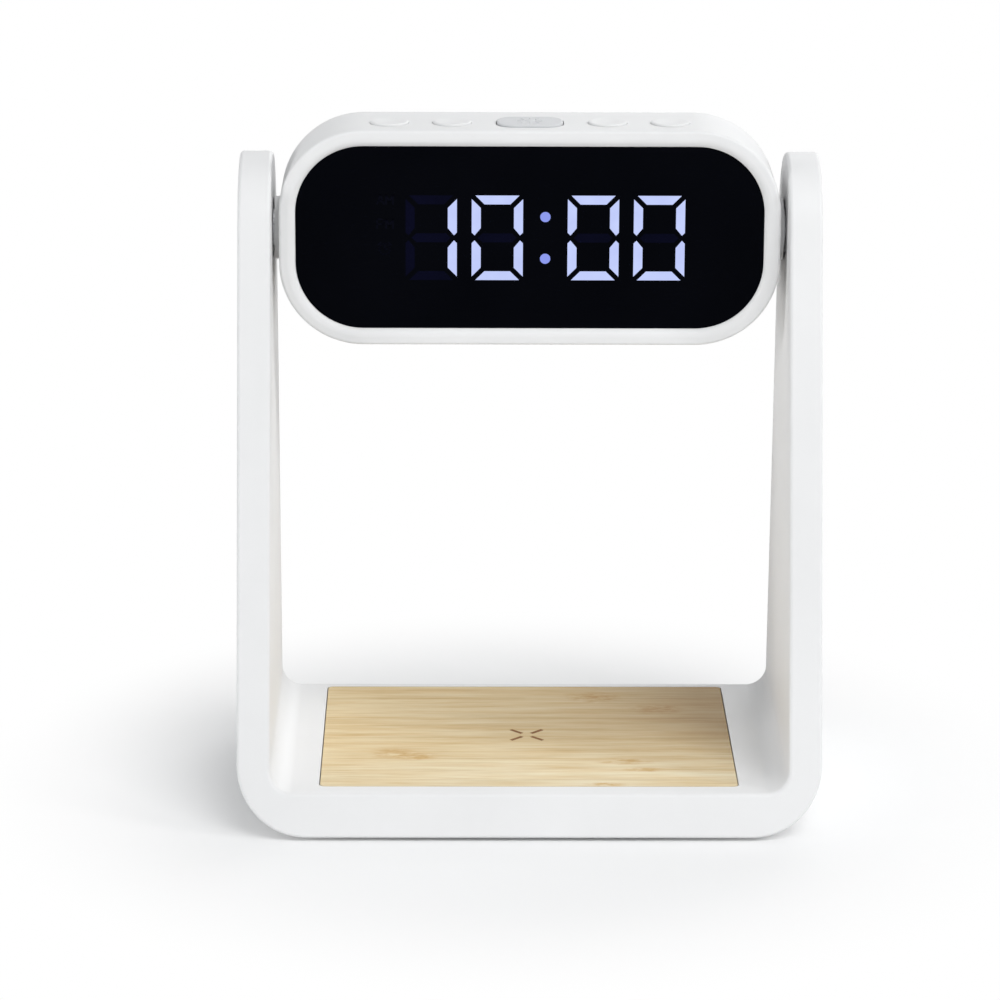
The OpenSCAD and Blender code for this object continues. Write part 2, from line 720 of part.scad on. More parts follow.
module back_cover_screws() color(metal) {
    at_pivot() for (sx = [-1, 1]) for (sz = [-1, 1])
        translate([sx * rear_boss_x, 0, sz * rear_boss_z]) {
            rod_y(tray_floor, tray_floor + screw_head_t, rear_screw_head_r);
            rod_y(tray_front - 5, tray_floor + 0.2, rear_screw_r);
        }
}
module lamp_board() color([0.9, 0.9, 0.88]) {
    at_pivot() span_y(tray_floor, tray_floor + lamp_board_t) rrect(lamp_board_w, lamp_board_h, 4);
}
module lamp_leds() color([0.95, 0.85, 0.45]) {
    first = (1 - lamps_in_row) / 2;
    at_pivot() for (i = [0 : lamps_in_row - 1]) for (s = [-1, 1])
        translate([(first + i) * lamp_pitch, tray_floor + lamp_board_t, s * lamp_board_h / 4])
            translate([-lamp_size[0] / 2, 0, -lamp_size[2] / 2])
                cube(lamp_size);
}
module lamp_diffuser() color([0.97, 0.96, 0.92]) {
    at_pivot() span_y(diffuser_front, diffuser_back) head_outline(diffuser_u + 0.3);
}

// the display: bars a to g of one digit, as outlines in the plane of the panel
function bar_outline(i) =
    let (x = digit_w / 2, z = digit_h / 2, t = segment_w, c = segment_cut, k = 0.8, m = 1.7)
    i == 0 ? [[-x + c, z], [x - c, z], [x - c - t, z - t], [-x + c + t, z - t]] :
    i == 1 ? [[x, z - c], [x, 1.5], [x - k, 0.7], [x - t, 0.7 + (t - k) * 1.2], [x - t, z - c - t]] :
    i == 2 ? [for (p = bar_outline(1)) [p[0], -p[1]]] :
    i == 3 ? [for (p = bar_outline(0)) [p[0], -p[1]]] :
    i == 4 ? [for (p = bar_outline(1)) [-p[0], -p[1]]] :
    i == 5 ? [for (p = bar_outline(1)) [-p[0], p[1]]] :
    [[-x + m, 0], [-x + m + t / 2, t / 2], [x - m - t / 2, t / 2], [x - m, 0],
        [x - m - t / 2, -t / 2], [-x + m + t / 2, -t / 2]];
digit_xs = [
    digit_offset - colon_pitch - digit_pitch, digit_offset - colon_pitch,
    digit_offset + colon_pitch, digit_offset + colon_pitch + digit_pitch
];
// ten o'clock: a one, then three noughts
one_bars = [1, 2];
nought_bars = [0, 1, 2, 3, 4, 5];
function is_lit(d, i) = len(search(i, d == 0 ? one_bars : nought_bars)) > 0;
module bars(lit) {
    for (d = [0 : 3]) for (i = [0 : 6])
        if (is_lit(d, i) == lit) translate([digit_xs[d], 0]) polygon(bar_outline(i));
}
module display_lens() color(black) {
    at_pivot() difference() {
        span_y(lens_front, lens_back) head_outline(bezel_w + lens_gap);
        span_y(lens_front - eps, lens_back + eps) bars(true);
        span_y(lens_front - eps, lens_back + eps) bars(false);
        for (s = [-1, 1])
            translate([digit_offset, 0, s * colon_rise])
                rod_y(lens_front - eps, lens_back + eps, colon_r + 0.05);
    }
}
module lit_segments() color([0.8, 0.84, 1]) {
    at_pivot() {
        span_y(lens_front, lens_back) bars(true);
        for (s = [-1, 1]) translate([digit_offset, 0, s * colon_rise]) rod_y(lens_front, lens_back, colon_r);
    }
}
module unlit_segments() color([0.06, 0.06, 0.12]) {
    at_pivot() span_y(lens_front, lens_back) bars(false);
}
module led_display_body() color([0.15, 0.15, 0.16]) {
    at_pivot()
        translate([digit_offset - led_body_w / 2, lens_back, -led_body_h / 2])
            cube([led_body_w, led_back - lens_back, led_body_h]);
}
module clock_board() color(board_green) {
    x = clock_boss_x + clock_board_rim;
    z = clock_boss_z + clock_board_rim;
    at_pivot() difference() {
        span_y(led_back, clock_back) square([2 * x, 2 * z], center = true);
        for (s = [-1, 1]) translate([s * x - 6, led_back - eps, -9]) cube([12, 5, 18]);
        for (sx = [-1, 1]) for (sz = [-1, 1])
            translate([sx * clock_boss_x, 0, sz * clock_boss_z])
                rod_y(led_back - eps, clock_back + eps, board_hole_r);
    }
}
module clock_board_screws() color(metal) {
    at_pivot() for (sx = [-1, 1]) for (sz = [-1, 1])
        translate([sx * clock_boss_x, 0, sz * clock_boss_z]) {
            rod_y(clock_back, clock_back + screw_head_t, board_screw_head_r);
            rod_y(led_back - 3.5, clock_back + 0.2, board_screw_r);
        }
}
module clock_components() color(black) {
    at_pivot() {
        translate([-head_plug_x, clock_back, -3]) cube([5, 4.4, 6]);
        translate([-12, clock_back, -5]) cube([10, 1.2, 10]);
        translate([4, clock_back, -2.5]) cube([5, 1.2, 5]);
        translate([14, clock_back, 4]) cube([7, 2.2, 3]);
        translate([-30, clock_back, -9]) cube([4, 1, 3]);
    }
}
module buzzer() color([0.1, 0.1, 0.1]) {
    at_pivot() translate([34, 0, -3]) difference() {
        rod_y(clock_back, clock_back + 4.5, 6);
        rod_y(clock_back + 3.5, clock_back + 5, 1);
    }
}
module switch_board() color(board_green) {
    at_pivot() difference() {
        translate([-outer_button_x - 7, -button_y - 6, switch_board_top - thin_board_t])
            cube([2 * outer_button_x + 14, 12.4, thin_board_t]);
        for (s = [-1, 1])
            translate([s * hang_x, -button_y, switch_board_top - 3])
                cylinder(r = board_hole_r, h = 5);
    }
}
module switch_board_screws() color(metal) {
    at_pivot() for (s = [-1, 1]) translate([s * hang_x, -button_y, switch_board_top - thin_board_t]) {
        translate([0, 0, -screw_head_t]) cylinder(r = board_screw_head_r, h = screw_head_t);
        translate([0, 0, -0.2]) cylinder(r = board_screw_r, h = thin_board_t + 4.2);
    }
}
module tact_switches() color(black) {
    at_pivot() for (x = button_xs) translate([x, -button_y, switch_board_top]) difference() {
        translate([-switch_body_w / 2, -switch_body_w / 2, 0])
            cube([switch_body_w, switch_body_w, switch_body_h]);
        translate([0, 0, 1]) cylinder(r = stem_r + 0.05, h = 5);
    }
}
module plunger(i) color([0.35, 0.35, 0.37]) {
    at_pivot() translate([button_xs[i], -button_y, switch_board_top + 1.9])
        cylinder(r = stem_r, h = plunger_top - switch_board_top - 1.9);
}
module left_outer_plunger() plunger(0);
module left_inner_plunger() plunger(1);
module lamp_plunger() plunger(2);
module right_inner_plunger() plunger(3);
module right_outer_plunger() plunger(4);
module round_button(i) color(white) {
    top = top_z + button_rise;
    dish_r = button_r - 0.9;
    dish_ball = (pow(dish_r, 2) + pow(dish_depth, 2)) / (2 * dish_depth);
    at_pivot() translate([button_xs[i], -button_y, 0]) difference() {
        union() {
            translate([0, 0, flange_top - 0.2]) cylinder(r = button_r, h = top - flange_top + 0.2);
            translate([0, 0, flange_top - flange_t]) cylinder(r = button_r + flange_lip, h = flange_t);
            translate([0, 0, plunger_top]) cylinder(r = 1.5, h = flange_top - plunger_top - 0.5);
        }
        translate([0, 0, top + dish_ball - dish_depth]) sphere(dish_ball, $fn = 96);
    }
}
module left_outer_button() round_button(0);
module left_inner_button() round_button(1);
module right_inner_button() round_button(3);
module right_outer_button() round_button(4);
module lamp_button() color([0.75, 0.75, 0.76]) {
    top = top_z + button_rise;
    at_pivot() translate([0, -button_y, 0]) {
        span_z(flange_top - 0.2, top) rrect(lamp_button_w, lamp_button_d, lamp_button_r);
        span_z(flange_top - flange_t, flange_top)
            rrect(lamp_button_w + 2 * flange_lip - 0.2, lamp_button_d, lamp_button_r);
        translate([0, 0, plunger_top]) cylinder(r = 1.5, h = flange_top - plunger_top - 0.5);
        // raised light sign: a lamp dome with rays
        translate([0, 0, top - 0.2]) cylinder(r = 1.4, h = 0.4);
        for (a = [0 : 45 : 315])
            rotate([0, 0, a])
                translate([2.2, -0.3, top - 0.2])
                    cube([1.3, 0.6, 0.4]);
    }
}

u_frame();
left_arm_cover();
right_arm_cover();
base_cover();
base_screws();
rubber_feet();
bamboo_pad();
pad_adhesive();
charging_coil();
ferrite_sheet();
charger_board();
charger_components();
charger_board_screws();
usb_c_socket();
left_bush();
right_bush();
left_friction_washer();
right_friction_washer();
arm_harness();
head_shell();
back_cover();
back_cover_screws();
display_lens();
led_display_body();
lit_segments();
unlit_segments();
clock_board();
clock_board_screws();
clock_components();
buzzer();
switch_board();
switch_board_screws();
tact_switches();
lamp_board();
lamp_leds();
lamp_diffuser();
left_pivot_bolt();
right_pivot_bolt();
left_collar();
right_collar();
left_pivot_nut();
right_pivot_nut();
head_harness();
left_outer_button();
left_inner_button();
lamp_button();
right_inner_button();
right_outer_button();
left_outer_plunger();
left_inner_plunger();
lamp_plunger();
right_inner_plunger();
right_outer_plunger();
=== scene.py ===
# %% [markdown]
# # A bedside clock lamp
# The object is a white U-shaped stand with a bamboo charging pad let into its base.
# Between the arms hangs a tilting head: a black display at the front, a lamp at the back,
# five buttons on top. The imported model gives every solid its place, so this lesson only
# dresses the solids: it softens moulded edges, gives each surface its finish, and lights it.

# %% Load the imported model
import json
import math

import bmesh
import bpy
from mathutils import Matrix, Vector


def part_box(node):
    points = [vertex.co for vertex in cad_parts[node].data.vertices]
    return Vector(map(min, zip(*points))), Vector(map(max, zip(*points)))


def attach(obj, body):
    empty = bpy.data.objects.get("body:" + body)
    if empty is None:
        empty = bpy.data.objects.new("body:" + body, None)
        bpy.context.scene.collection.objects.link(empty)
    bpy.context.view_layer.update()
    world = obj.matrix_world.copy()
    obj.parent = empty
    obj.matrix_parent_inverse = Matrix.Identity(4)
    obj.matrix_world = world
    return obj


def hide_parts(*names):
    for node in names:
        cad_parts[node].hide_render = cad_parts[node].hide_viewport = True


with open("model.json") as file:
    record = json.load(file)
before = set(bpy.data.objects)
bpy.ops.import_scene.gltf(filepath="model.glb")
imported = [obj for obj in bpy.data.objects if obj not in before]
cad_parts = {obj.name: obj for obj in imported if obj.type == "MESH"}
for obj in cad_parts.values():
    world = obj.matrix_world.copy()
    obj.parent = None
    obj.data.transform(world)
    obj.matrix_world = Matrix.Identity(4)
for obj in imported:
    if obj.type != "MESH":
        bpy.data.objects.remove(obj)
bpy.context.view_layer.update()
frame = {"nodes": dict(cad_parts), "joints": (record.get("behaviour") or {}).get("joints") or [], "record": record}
nodes = frame["nodes"]
MM = 0.001

# %% [markdown]
# ## Sizes that the pieces share
# A piece that dresses a solid has to follow it, so its sizes are read from the solid's box
# wherever the box shows them. Only radii and the width of a seam, which a box can't show, are
# written here.

# %% Read the main sizes from the solids
stand_low, stand_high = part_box("u_frame")
pad_low, pad_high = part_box("bamboo_pad")
tilt_joint = next(joint for joint in frame["joints"] if joint["name"] == "head_tilt")
PIVOT = Vector(tilt_joint["pos_m"])
HALF_WIDTH = stand_high.x
ARM_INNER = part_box("right_bush")[0].x
BASE_LOW = stand_low.z
BASE_TOP = pad_high.z
ARM_TOP_RADIUS = stand_high.z - PIVOT.z
CORNER_RADIUS = 19 * MM
INNER_RADIUS = 6 * MM
EDGE_RADIUS = 1.1 * MM
SEAM = 0.3 * MM
print("arm thickness in mm:", round((HALF_WIDTH - ARM_INNER) / MM, 2))

# %% [markdown]
# ## The camera
# A long lens about 1.2 m away, a little above the display and looking slightly down.
# The three turns are written as angles, so that each can be changed by itself, and the camera's
# own axes are worked out from them.

# %% Place the camera
CAMERA_PLACE = Vector((-21.07, -1142.40, 417.94)) * MM
CAMERA_LENS, SENSOR_WIDTH, CLIP_START = 153.893, 36, 0.05
LOOK_DOWN = math.radians(16.3385)
LOOK_RIGHT = math.radians(0.6596)
ROLL = math.radians(0.2753)

forward = Vector((
    math.sin(LOOK_RIGHT) * math.cos(LOOK_DOWN),
    math.cos(LOOK_RIGHT) * math.cos(LOOK_DOWN),
    -math.sin(LOOK_DOWN),
))
level = Vector((math.cos(LOOK_RIGHT), -math.sin(LOOK_RIGHT), 0))
above = level.cross(forward)
right = math.cos(ROLL) * level + math.sin(ROLL) * above
up = math.cos(ROLL) * above - math.sin(ROLL) * level
camera_data = bpy.data.cameras.new("camera")
camera_data.sensor_width = SENSOR_WIDTH
camera_data.lens = CAMERA_LENS
camera_data.clip_start = CLIP_START
camera = bpy.data.objects.new("camera", camera_data)
camera_axes = Matrix((right, up, -forward)).transposed().to_4x4()
camera.matrix_world = Matrix.Translation(CAMERA_PLACE) @ camera_axes
bpy.context.scene.collection.objects.link(camera)
bpy.context.scene.camera = camera
bpy.context.scene.view_settings.view_transform = "Standard"
print("camera distance in m:", round((CAMERA_PLACE - PIVOT).length, 3))

# %% [markdown]
# ## Tools for the finishes
# Every finish is a small tree of shader nodes. Building it socket by socket is long-winded, so
# a few helpers keep the trees short: they add a node and fill its sockets, start a finish with
# the coordinates of the object, and make grain, colour ramps and bump. A colour is written as
# it looks on a screen and changed to linear light here.

# %% Helpers for shader nodes
def screen(red, green, blue):
    """Linear colour of a screen colour from 0 to 255."""
    linear = []
    for value in (red / 255, green / 255, blue / 255):
        linear.append(value / 12.92 if value <= 0.04045 else ((value + 0.055) / 1.055) ** 2.4)
    return (*linear, 1)


def put(tree, kind, settings=None, **sockets):
    """Adds a node; a socket gets a number, a colour or the output of another node."""
    made = tree.nodes.new(kind)
    for key, value in (settings or {}).items():
        setattr(made, key, value)
    for key, value in sockets.items():
        socket = made.inputs[int(key[1:])] if key[0] == "_" else made.inputs[key.replace("_", " ")]
        if isinstance(value, bpy.types.NodeSocket):
            tree.links.new(value, socket)
        else:
            socket.default_value = value
    return made


def start_finish(name, **sockets):
    """A new material with its Principled shader and the object's own coordinates in metres."""
    material = bpy.data.materials.new(name)
    material.use_nodes = True
    tree = material.node_tree
    shader = tree.nodes["Principled BSDF"]
    for key, value in sockets.items():
        shader.inputs[key.replace("_", " ")].default_value = value
    place = put(tree, "ShaderNodeTexCoord").outputs["Object"]
    return material, tree, shader, place


def grain(tree, place, scale, stretch=(1, 1, 1), detail=3, roughness=0.5):
    """Noise with a given number of grains per metre, drawn out along an axis."""
    drawn = put(tree, "ShaderNodeMapping", Vector=place, Scale=stretch)
    noise = put(
        tree, "ShaderNodeTexNoise", Vector=drawn.outputs["Vector"],
        Scale=scale, Detail=detail, Roughness=roughness,
    )
    return noise.outputs["Fac"]


def ramp(tree, value, stops):
    """Colours along a value: stops are pairs of place and colour."""
    made = put(tree, "ShaderNodeValToRGB", Fac=value)
    elements = made.color_ramp.elements
    while len(elements) < len(stops):
        elements.new(0.5)
    for element, (place, colour) in zip(elements, stops):
        element.position = place
        element.color = colour
    return made.outputs["Color"]


def spread(tree, value, low, high):
    """A value from 0 to 1 spread between two numbers."""
    return put(tree, "ShaderNodeMapRange", Value=value, To_Min=low, To_Max=high).outputs["Result"]


def roughen(tree, shader, height, depth):
    """Bump of a given depth in metres from a height between 0 and 1."""
    bump = put(tree, "ShaderNodeBump", Height=height, Distance=depth)
    tree.links.new(bump.outputs["Normal"], shader.inputs["Normal"])


def plain_finish(name, dark, light, scale, rough, depth=0.0, stretch=(1, 1, 1), **sockets):
    """A finish of two near colours mixed by grain, with grain in its gloss as well."""
    material, tree, shader, place = start_finish(name, **sockets)
    fleck = grain(tree, place, scale, stretch)
    tree.links.new(ramp(tree, fleck, [(0.3, dark), (0.7, light)]), shader.inputs["Base Color"])
    tree.links.new(spread(tree, fleck, *rough), shader.inputs["Roughness"])
    if depth:
        roughen(tree, shader, fleck, depth)
    return material


finishes = {}

# %% [markdown]
# ## White moulded plastic
# The stand, the head and the buttons are white ABS from a spark-eroded mould: nearly matt,
# with a very fine skin that breaks up the gloss. Real bumps this small would need millions of
# faces, so fine noise gives the skin as bump, and a slow, weak noise keeps large faces from
# looking like paper.

# %% White and grey plastic
SKIN_DEPTH = 0.012 * MM


def moulded_plastic(name, dark, light):
    """Plastic with a slow change of tone and the fine skin of its mould."""
    material, tree, shader, place = start_finish(name, Specular_IOR_Level=0.35)
    slow = grain(tree, place, 18, detail=2)
    skin = grain(tree, place, 2600, detail=2)
    tree.links.new(ramp(tree, slow, [(0.35, dark), (0.65, light)]), shader.inputs["Base Color"])
    tree.links.new(spread(tree, skin, 0.42, 0.6), shader.inputs["Roughness"])
    roughen(tree, shader, skin, SKIN_DEPTH)
    return material


finishes["white_plastic"] = moulded_plastic("white plastic", screen(232, 232, 232), screen(235, 235, 235))
finishes["grey_plastic"] = moulded_plastic("grey plastic", screen(205, 206, 208), screen(211, 212, 214))
print("plastics:", [finish.name for finish in finishes.values()])

# %% [markdown]
# ## The black display
# The panel is a dark tinted plate. A strong mirror would show the white studio in it, so its
# gloss is weak, and a slow noise varies it a little. The bars of the digits shine by
# themselves; the colon is driven weaker and looks bluer, so its colour is picked by place.

# %% Display panel and light guides
COLON_HALF_WIDTH = 2.2 * MM
COLON_X = 4.25 * MM

panel, tree, shader, place = start_finish("display black", Specular_IOR_Level=0.012)
smoke = grain(tree, place, 30)
tree.links.new(
    ramp(tree, smoke, [(0.3, screen(3, 4, 8)), (0.7, screen(5, 6, 11))]), shader.inputs["Base Color"]
)
tree.links.new(spread(tree, smoke, 0.12, 0.2), shader.inputs["Roughness"])
finishes["display_black"] = panel

lit, tree, shader, place = start_finish(
    "lit bars", Base_Color=(0.02, 0.02, 0.03, 1), Specular_IOR_Level=0.012, Emission_Strength=1.0
)
across = put(tree, "ShaderNodeSeparateXYZ", Vector=place).outputs["X"]
from_colon = put(tree, "ShaderNodeMath", {"operation": "SUBTRACT"}, _0=across, _1=COLON_X)
distance = put(tree, "ShaderNodeMath", {"operation": "ABSOLUTE"}, _0=from_colon.outputs[0])
in_colon = put(
    tree, "ShaderNodeMath", {"operation": "LESS_THAN"}, _0=distance.outputs[0], _1=COLON_HALF_WIDTH
)
flow = ramp(tree, grain(tree, place, 160), [(0.3, screen(188, 199, 246)), (0.7, screen(197, 209, 252))])
glow = put(
    tree, "ShaderNodeMix", {"data_type": "RGBA"},
    _0=in_colon.outputs[0], _6=flow, _7=screen(138, 152, 236),
)
tree.links.new(glow.outputs[2], shader.inputs["Emission Color"])
finishes["lit_guide"] = lit

finishes["unlit_guide"] = plain_finish(
    "unlit bars", screen(7, 8, 24), screen(9, 10, 30), 60, (0.2, 0.3), Specular_IOR_Level=0.012
)
print("finishes with the display:", len(finishes))

# %% [markdown]
# ## Bamboo
# The pad is flat-pressed bamboo: strips about 17 mm wide side by side, long fibres along the
# strips, and here and there a darker spot where the cane had a joint. A picture of wood would
# be quick but fixed in size, so it is all noise: fibres are noise drawn out along X, each strip
# has its own tone, thin glue lines part the strips and fade in places, and the joints are soft
# ellipses broken by fibres. Shade is also painted into the pad's colour: two soft tones follow
# the place on it. They make the pad darker and warmer towards the back, and much darker at the
# right back, where the right arm's shadow falls.

# %% Bamboo finish
STRIP_WIDTH = 17.2 * MM
GLUE_START, GLUE_FULL = 0.47, 0.495
# Painted shade: the pad is darker and warmer from its front strip backwards.
BACK_SHADE_START, BACK_SHADE_FULL = -32 * MM, -4 * MM
# Painted shadow of the right arm: where it starts towards the back and how far it reaches to the sides.
ARM_SHADOW_START, ARM_SHADOW_FULL, ARM_SHADOW_SIDE = -35 * MM, 21 * MM, 60 * MM
FIBRE_DEPTH = 0.03 * MM
CANE_JOINTS = [
    (-37.5, -13.0, 8.0, 6.0), (-31.0, -15.5, 7.5, 4.5), (19.9, 35.6, 11.0, 6.5), (38.0, 25.0, 9.5, 6.0),
    (27.0, -19.5, 10.0, 3.4), (32.0, -26.0, 7.5, 2.6), (21.0, -38.0, 7.5, 2.2),
]


def blotch(tree, place, x, y, length, width):
    """1 in the middle of an ellipse on the pad and 0 outside it."""
    moved = put(
        tree, "ShaderNodeVectorMath", {"operation": "SUBTRACT"}, _0=place, _1=(x * MM, y * MM, BASE_TOP)
    )
    sized = put(
        tree, "ShaderNodeVectorMath", {"operation": "MULTIPLY"},
        _0=moved.outputs[0], _1=(1 / (length * MM), 1 / (width * MM), 0),
    )
    far = put(tree, "ShaderNodeVectorMath", {"operation": "LENGTH"}, _0=sized.outputs[0])
    return put(
        tree, "ShaderNodeMapRange", {"interpolation_type": "SMOOTHSTEP"},
        Value=far.outputs["Value"], From_Min=0.25, From_Max=1.0, To_Min=1.0, To_Max=0.0,
    ).outputs["Result"]


def mixed(tree, factor, first, second, kind="MIX"):
    """Two colours mixed by a factor."""
    made = put(
        tree, "ShaderNodeMix", {"data_type": "RGBA", "blend_type": kind}, _0=factor, _6=first, _7=second
    )
    return made.outputs[2]


bamboo, tree, shader, place = start_finish("bamboo", Specular_IOR_Level=0.3)
wide_fibre = grain(tree, place, 330, (0.1, 1, 1), detail=4, roughness=0.62)
slim_fibre = grain(tree, place, 680, (0.05, 1, 1), detail=3, roughness=0.6)
fine_fibre = grain(tree, place, 1500, (0.03, 1, 1), detail=3, roughness=0.6)
wood = ramp(tree, wide_fibre, [
    (0.26, screen(223, 198, 150)), (0.40, screen(231, 211, 171)),
    (0.55, screen(237, 222, 188)), (0.74, screen(242, 231, 204)),
])
wide, deep = put(tree, "ShaderNodeSeparateXYZ", Vector=place).outputs[:2]
strip = put(tree, "ShaderNodeMath", {"operation": "SNAP"}, _0=deep, _1=STRIP_WIDTH)
tone = put(tree, "ShaderNodeTexWhiteNoise", {"noise_dimensions": "1D"}, W=strip.outputs[0])
strip_tone = ramp(tree, tone.outputs["Value"], [(0, (0.95, 0.935, 0.905, 1)), (1, (1, 1, 1, 1))])
wood = mixed(tree, 1.0, wood, strip_tone, "MULTIPLY")
for fibre, share in ((slim_fibre, 1.0), (fine_fibre, 0.8)):
    thread = ramp(tree, fibre, [(0.3, (0.9, 0.86, 0.78, 1)), (0.54, (1, 1, 1, 1))])
    wood = mixed(tree, share, wood, thread, "MULTIPLY")
strips = put(tree, "ShaderNodeMath", {"operation": "DIVIDE"}, _0=deep, _1=STRIP_WIDTH)
across_strip = put(tree, "ShaderNodeMath", {"operation": "FRACT"}, _0=strips.outputs[0])
off_middle = put(tree, "ShaderNodeMath", {"operation": "SUBTRACT"}, _0=across_strip.outputs[0], _1=0.5)
to_joint = put(tree, "ShaderNodeMath", {"operation": "ABSOLUTE"}, _0=off_middle.outputs[0])
glue_line = put(
    tree, "ShaderNodeMapRange",
    Value=to_joint.outputs[0], From_Min=GLUE_START, From_Max=GLUE_FULL,
)
faded = spread(tree, grain(tree, place, 45, (1, 6, 1), detail=2), -1.0, 2.2)
glue = put(
    tree, "ShaderNodeMath", {"operation": "MULTIPLY", "use_clamp": True},
    _0=glue_line.outputs["Result"], _1=faded,
)
wood = mixed(tree, glue.outputs[0], wood, (0.8, 0.72, 0.58, 1), "MULTIPLY")
broken = spread(tree, grain(tree, place, 620, (0.36, 1, 1), detail=4, roughness=0.6), -1.7, 2.7)
for joint in CANE_JOINTS:
    dark = put(
        tree, "ShaderNodeMath", {"operation": "MULTIPLY", "use_clamp": True},
        _0=blotch(tree, place, *joint), _1=broken,
    )
    wood = mixed(tree, dark.outputs[0], wood, screen(207, 171, 112))
# Painted shade: from the front strip of the pad backwards, the colour is multiplied darker and warmer.
painted_back_shade = put(
    tree, "ShaderNodeMapRange", {"interpolation_type": "SMOOTHSTEP"},
    Value=deep, From_Min=BACK_SHADE_START, From_Max=BACK_SHADE_FULL,
)
wood = mixed(tree, painted_back_shade.outputs["Result"], wood, (0.98, 0.925, 0.825, 1), "MULTIPLY")
# Painted shadow: the right arm's shadow is multiplied into the colour, deepest at the right back of the pad.
shadow_to_back = put(
    tree, "ShaderNodeMapRange", {"interpolation_type": "SMOOTHSTEP"},
    Value=deep, From_Min=ARM_SHADOW_START, From_Max=ARM_SHADOW_FULL,
)
shadow_to_right = put(
    tree, "ShaderNodeMapRange", Value=wide, From_Min=-ARM_SHADOW_SIDE, From_Max=ARM_SHADOW_SIDE
).outputs["Result"]
shadow_bowed = put(tree, "ShaderNodeMath", {"operation": "MULTIPLY"}, _0=shadow_to_right, _1=shadow_to_right)
painted_arm_shadow = put(
    tree, "ShaderNodeMath", {"operation": "MULTIPLY", "use_clamp": True},
    _0=shadow_to_back.outputs["Result"], _1=spread(tree, shadow_bowed.outputs[0], 0.13, 1.17),
)
wood = mixed(tree, painted_arm_shadow.outputs[0], wood, (0.51, 0.45, 0.38, 1), "MULTIPLY")
tree.links.new(wood, shader.inputs["Base Color"])
tree.links.new(spread(tree, fine_fibre, 0.5, 0.68), shader.inputs["Roughness"])
roughen(tree, shader, fine_fibre, FIBRE_DEPTH)
finishes["bamboo"] = bamboo
print("bamboo nodes:", len(tree.nodes))

# %% [markdown]
# ## Everything inside
# Boards, wires and screws are out of sight, yet a part that is taken apart shows them, so
# each gets a finish too. They are two-tone grains at the scale of the real material, so one
# table holds them all: name, two colours, grains per metre, range of roughness, depth of bump in
# millimetres and special sockets. The lamp's diffuser is cloudy white plastic.

# %% Finishes of the inner parts
METAL, DULL = {"Metallic": 1.0}, {"Specular_IOR_Level": 0.2}
INNER_FINISHES = {
    "adhesive": ("adhesive film", (196, 194, 184), (214, 212, 202), 300, (0.4, 0.6), 0, {}),
    "rubber": ("rubber", (58, 58, 60), (70, 70, 72), 1800, (0.75, 0.9), 0.02, DULL),
    "wire_jacket": ("wire jacket", (38, 38, 42), (50, 50, 55), 900, (0.45, 0.6), 0, {}),
    "steel": ("plated steel", (188, 188, 192), (208, 208, 212), 1400, (0.22, 0.36), 0.008, METAL),
    "ferrite": ("ferrite", (52, 52, 55), (66, 66, 70), 1200, (0.6, 0.8), 0.01, {}),
    "board": ("circuit board", (28, 92, 52), (38, 110, 62), 500, (0.3, 0.45), 0, {}),
    "component_black": ("component black", (28, 28, 30), (38, 38, 41), 1500, (0.5, 0.65), 0.01, {}),
    "lamp_board_white": ("lamp board", (232, 232, 228), (240, 240, 236), 600, (0.35, 0.5), 0, {}),
    "lamp_led": ("lamp phosphor", (236, 206, 104), (246, 222, 132), 1500, (0.4, 0.55), 0, {}),
    "copper_wire": ("enamelled copper", (176, 96, 54), (206, 128, 78), 1200, (0.25, 0.4), 0, METAL),
}
for slot_name, (name, dark, light, scale, rough, depth, sockets) in INNER_FINISHES.items():
    finishes[slot_name] = plain_finish(
        name, screen(*dark), screen(*light), scale, rough, depth * MM, **sockets
    )

CLOUD_DEPTH = 0.01 * MM
diffuser, tree, shader, place = start_finish("lamp diffuser", Specular_IOR_Level=0.3)
cloud = grain(tree, place, 1800)
tree.links.new(
    ramp(tree, cloud, [(0.3, screen(236, 234, 227)), (0.7, screen(241, 239, 233))]),
    shader.inputs["Base Color"],
)
tree.links.new(spread(tree, cloud, 0.5, 0.62), shader.inputs["Roughness"])
roughen(tree, shader, cloud, CLOUD_DEPTH)
finishes["diffuser"] = diffuser
print("finishes:", sorted(finishes))

# %% [markdown]
# ## Give each solid its finish
# The record says which slot each solid takes its finish from, so one loop does them all. Done by
# hand, one of the fifty-odd solids would sooner or later be missed.

# %% Assign finishes to the solids
for subpart in frame["record"]["subparts"]:
    solid = nodes[subpart["node"]]
    solid.data.materials.clear()
    solid.data.materials.append(finishes[subpart["material_slot"]])

# %% [markdown]
# ## Tools for meshes
# New pieces are made from points and faces. Flat faces next to a rounding need normals that
# follow the large face, or they shade like a pillow, so each piece gets sharp edges by angle
# and a Weighted Normal modifier.

# %% Helpers for meshes
SHARP = math.radians(35)
WELD, FLAT = 1e-7, 1e-8


def finish_mesh(bm, name, slot_name, body, replaced=(), weld=True):
    """Closes a piece: welds it, turns it outwards, shades it and lets it ride on its body."""
    if weld:
        bmesh.ops.remove_doubles(bm, verts=bm.verts, dist=WELD)
    bmesh.ops.dissolve_degenerate(bm, edges=bm.edges, dist=FLAT)
    bmesh.ops.recalc_face_normals(bm, faces=bm.faces)
    for face in bm.faces:
        face.smooth = True
    for edge in bm.edges:
        edge.smooth = len(edge.link_faces) == 2 and edge.calc_face_angle(0) < SHARP
    mesh = bpy.data.meshes.new(name)
    bm.to_mesh(mesh)
    bm.free()
    piece = bpy.data.objects.new(name, mesh)
    bpy.context.scene.collection.objects.link(piece)
    mesh.materials.append(finishes[slot_name])
    weighted = piece.modifiers.new("even shading", "WEIGHTED_NORMAL")
    weighted.keep_sharp = True
    weighted.weight = 80
    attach(piece, body)
    if replaced:
        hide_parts(*replaced)
    return piece


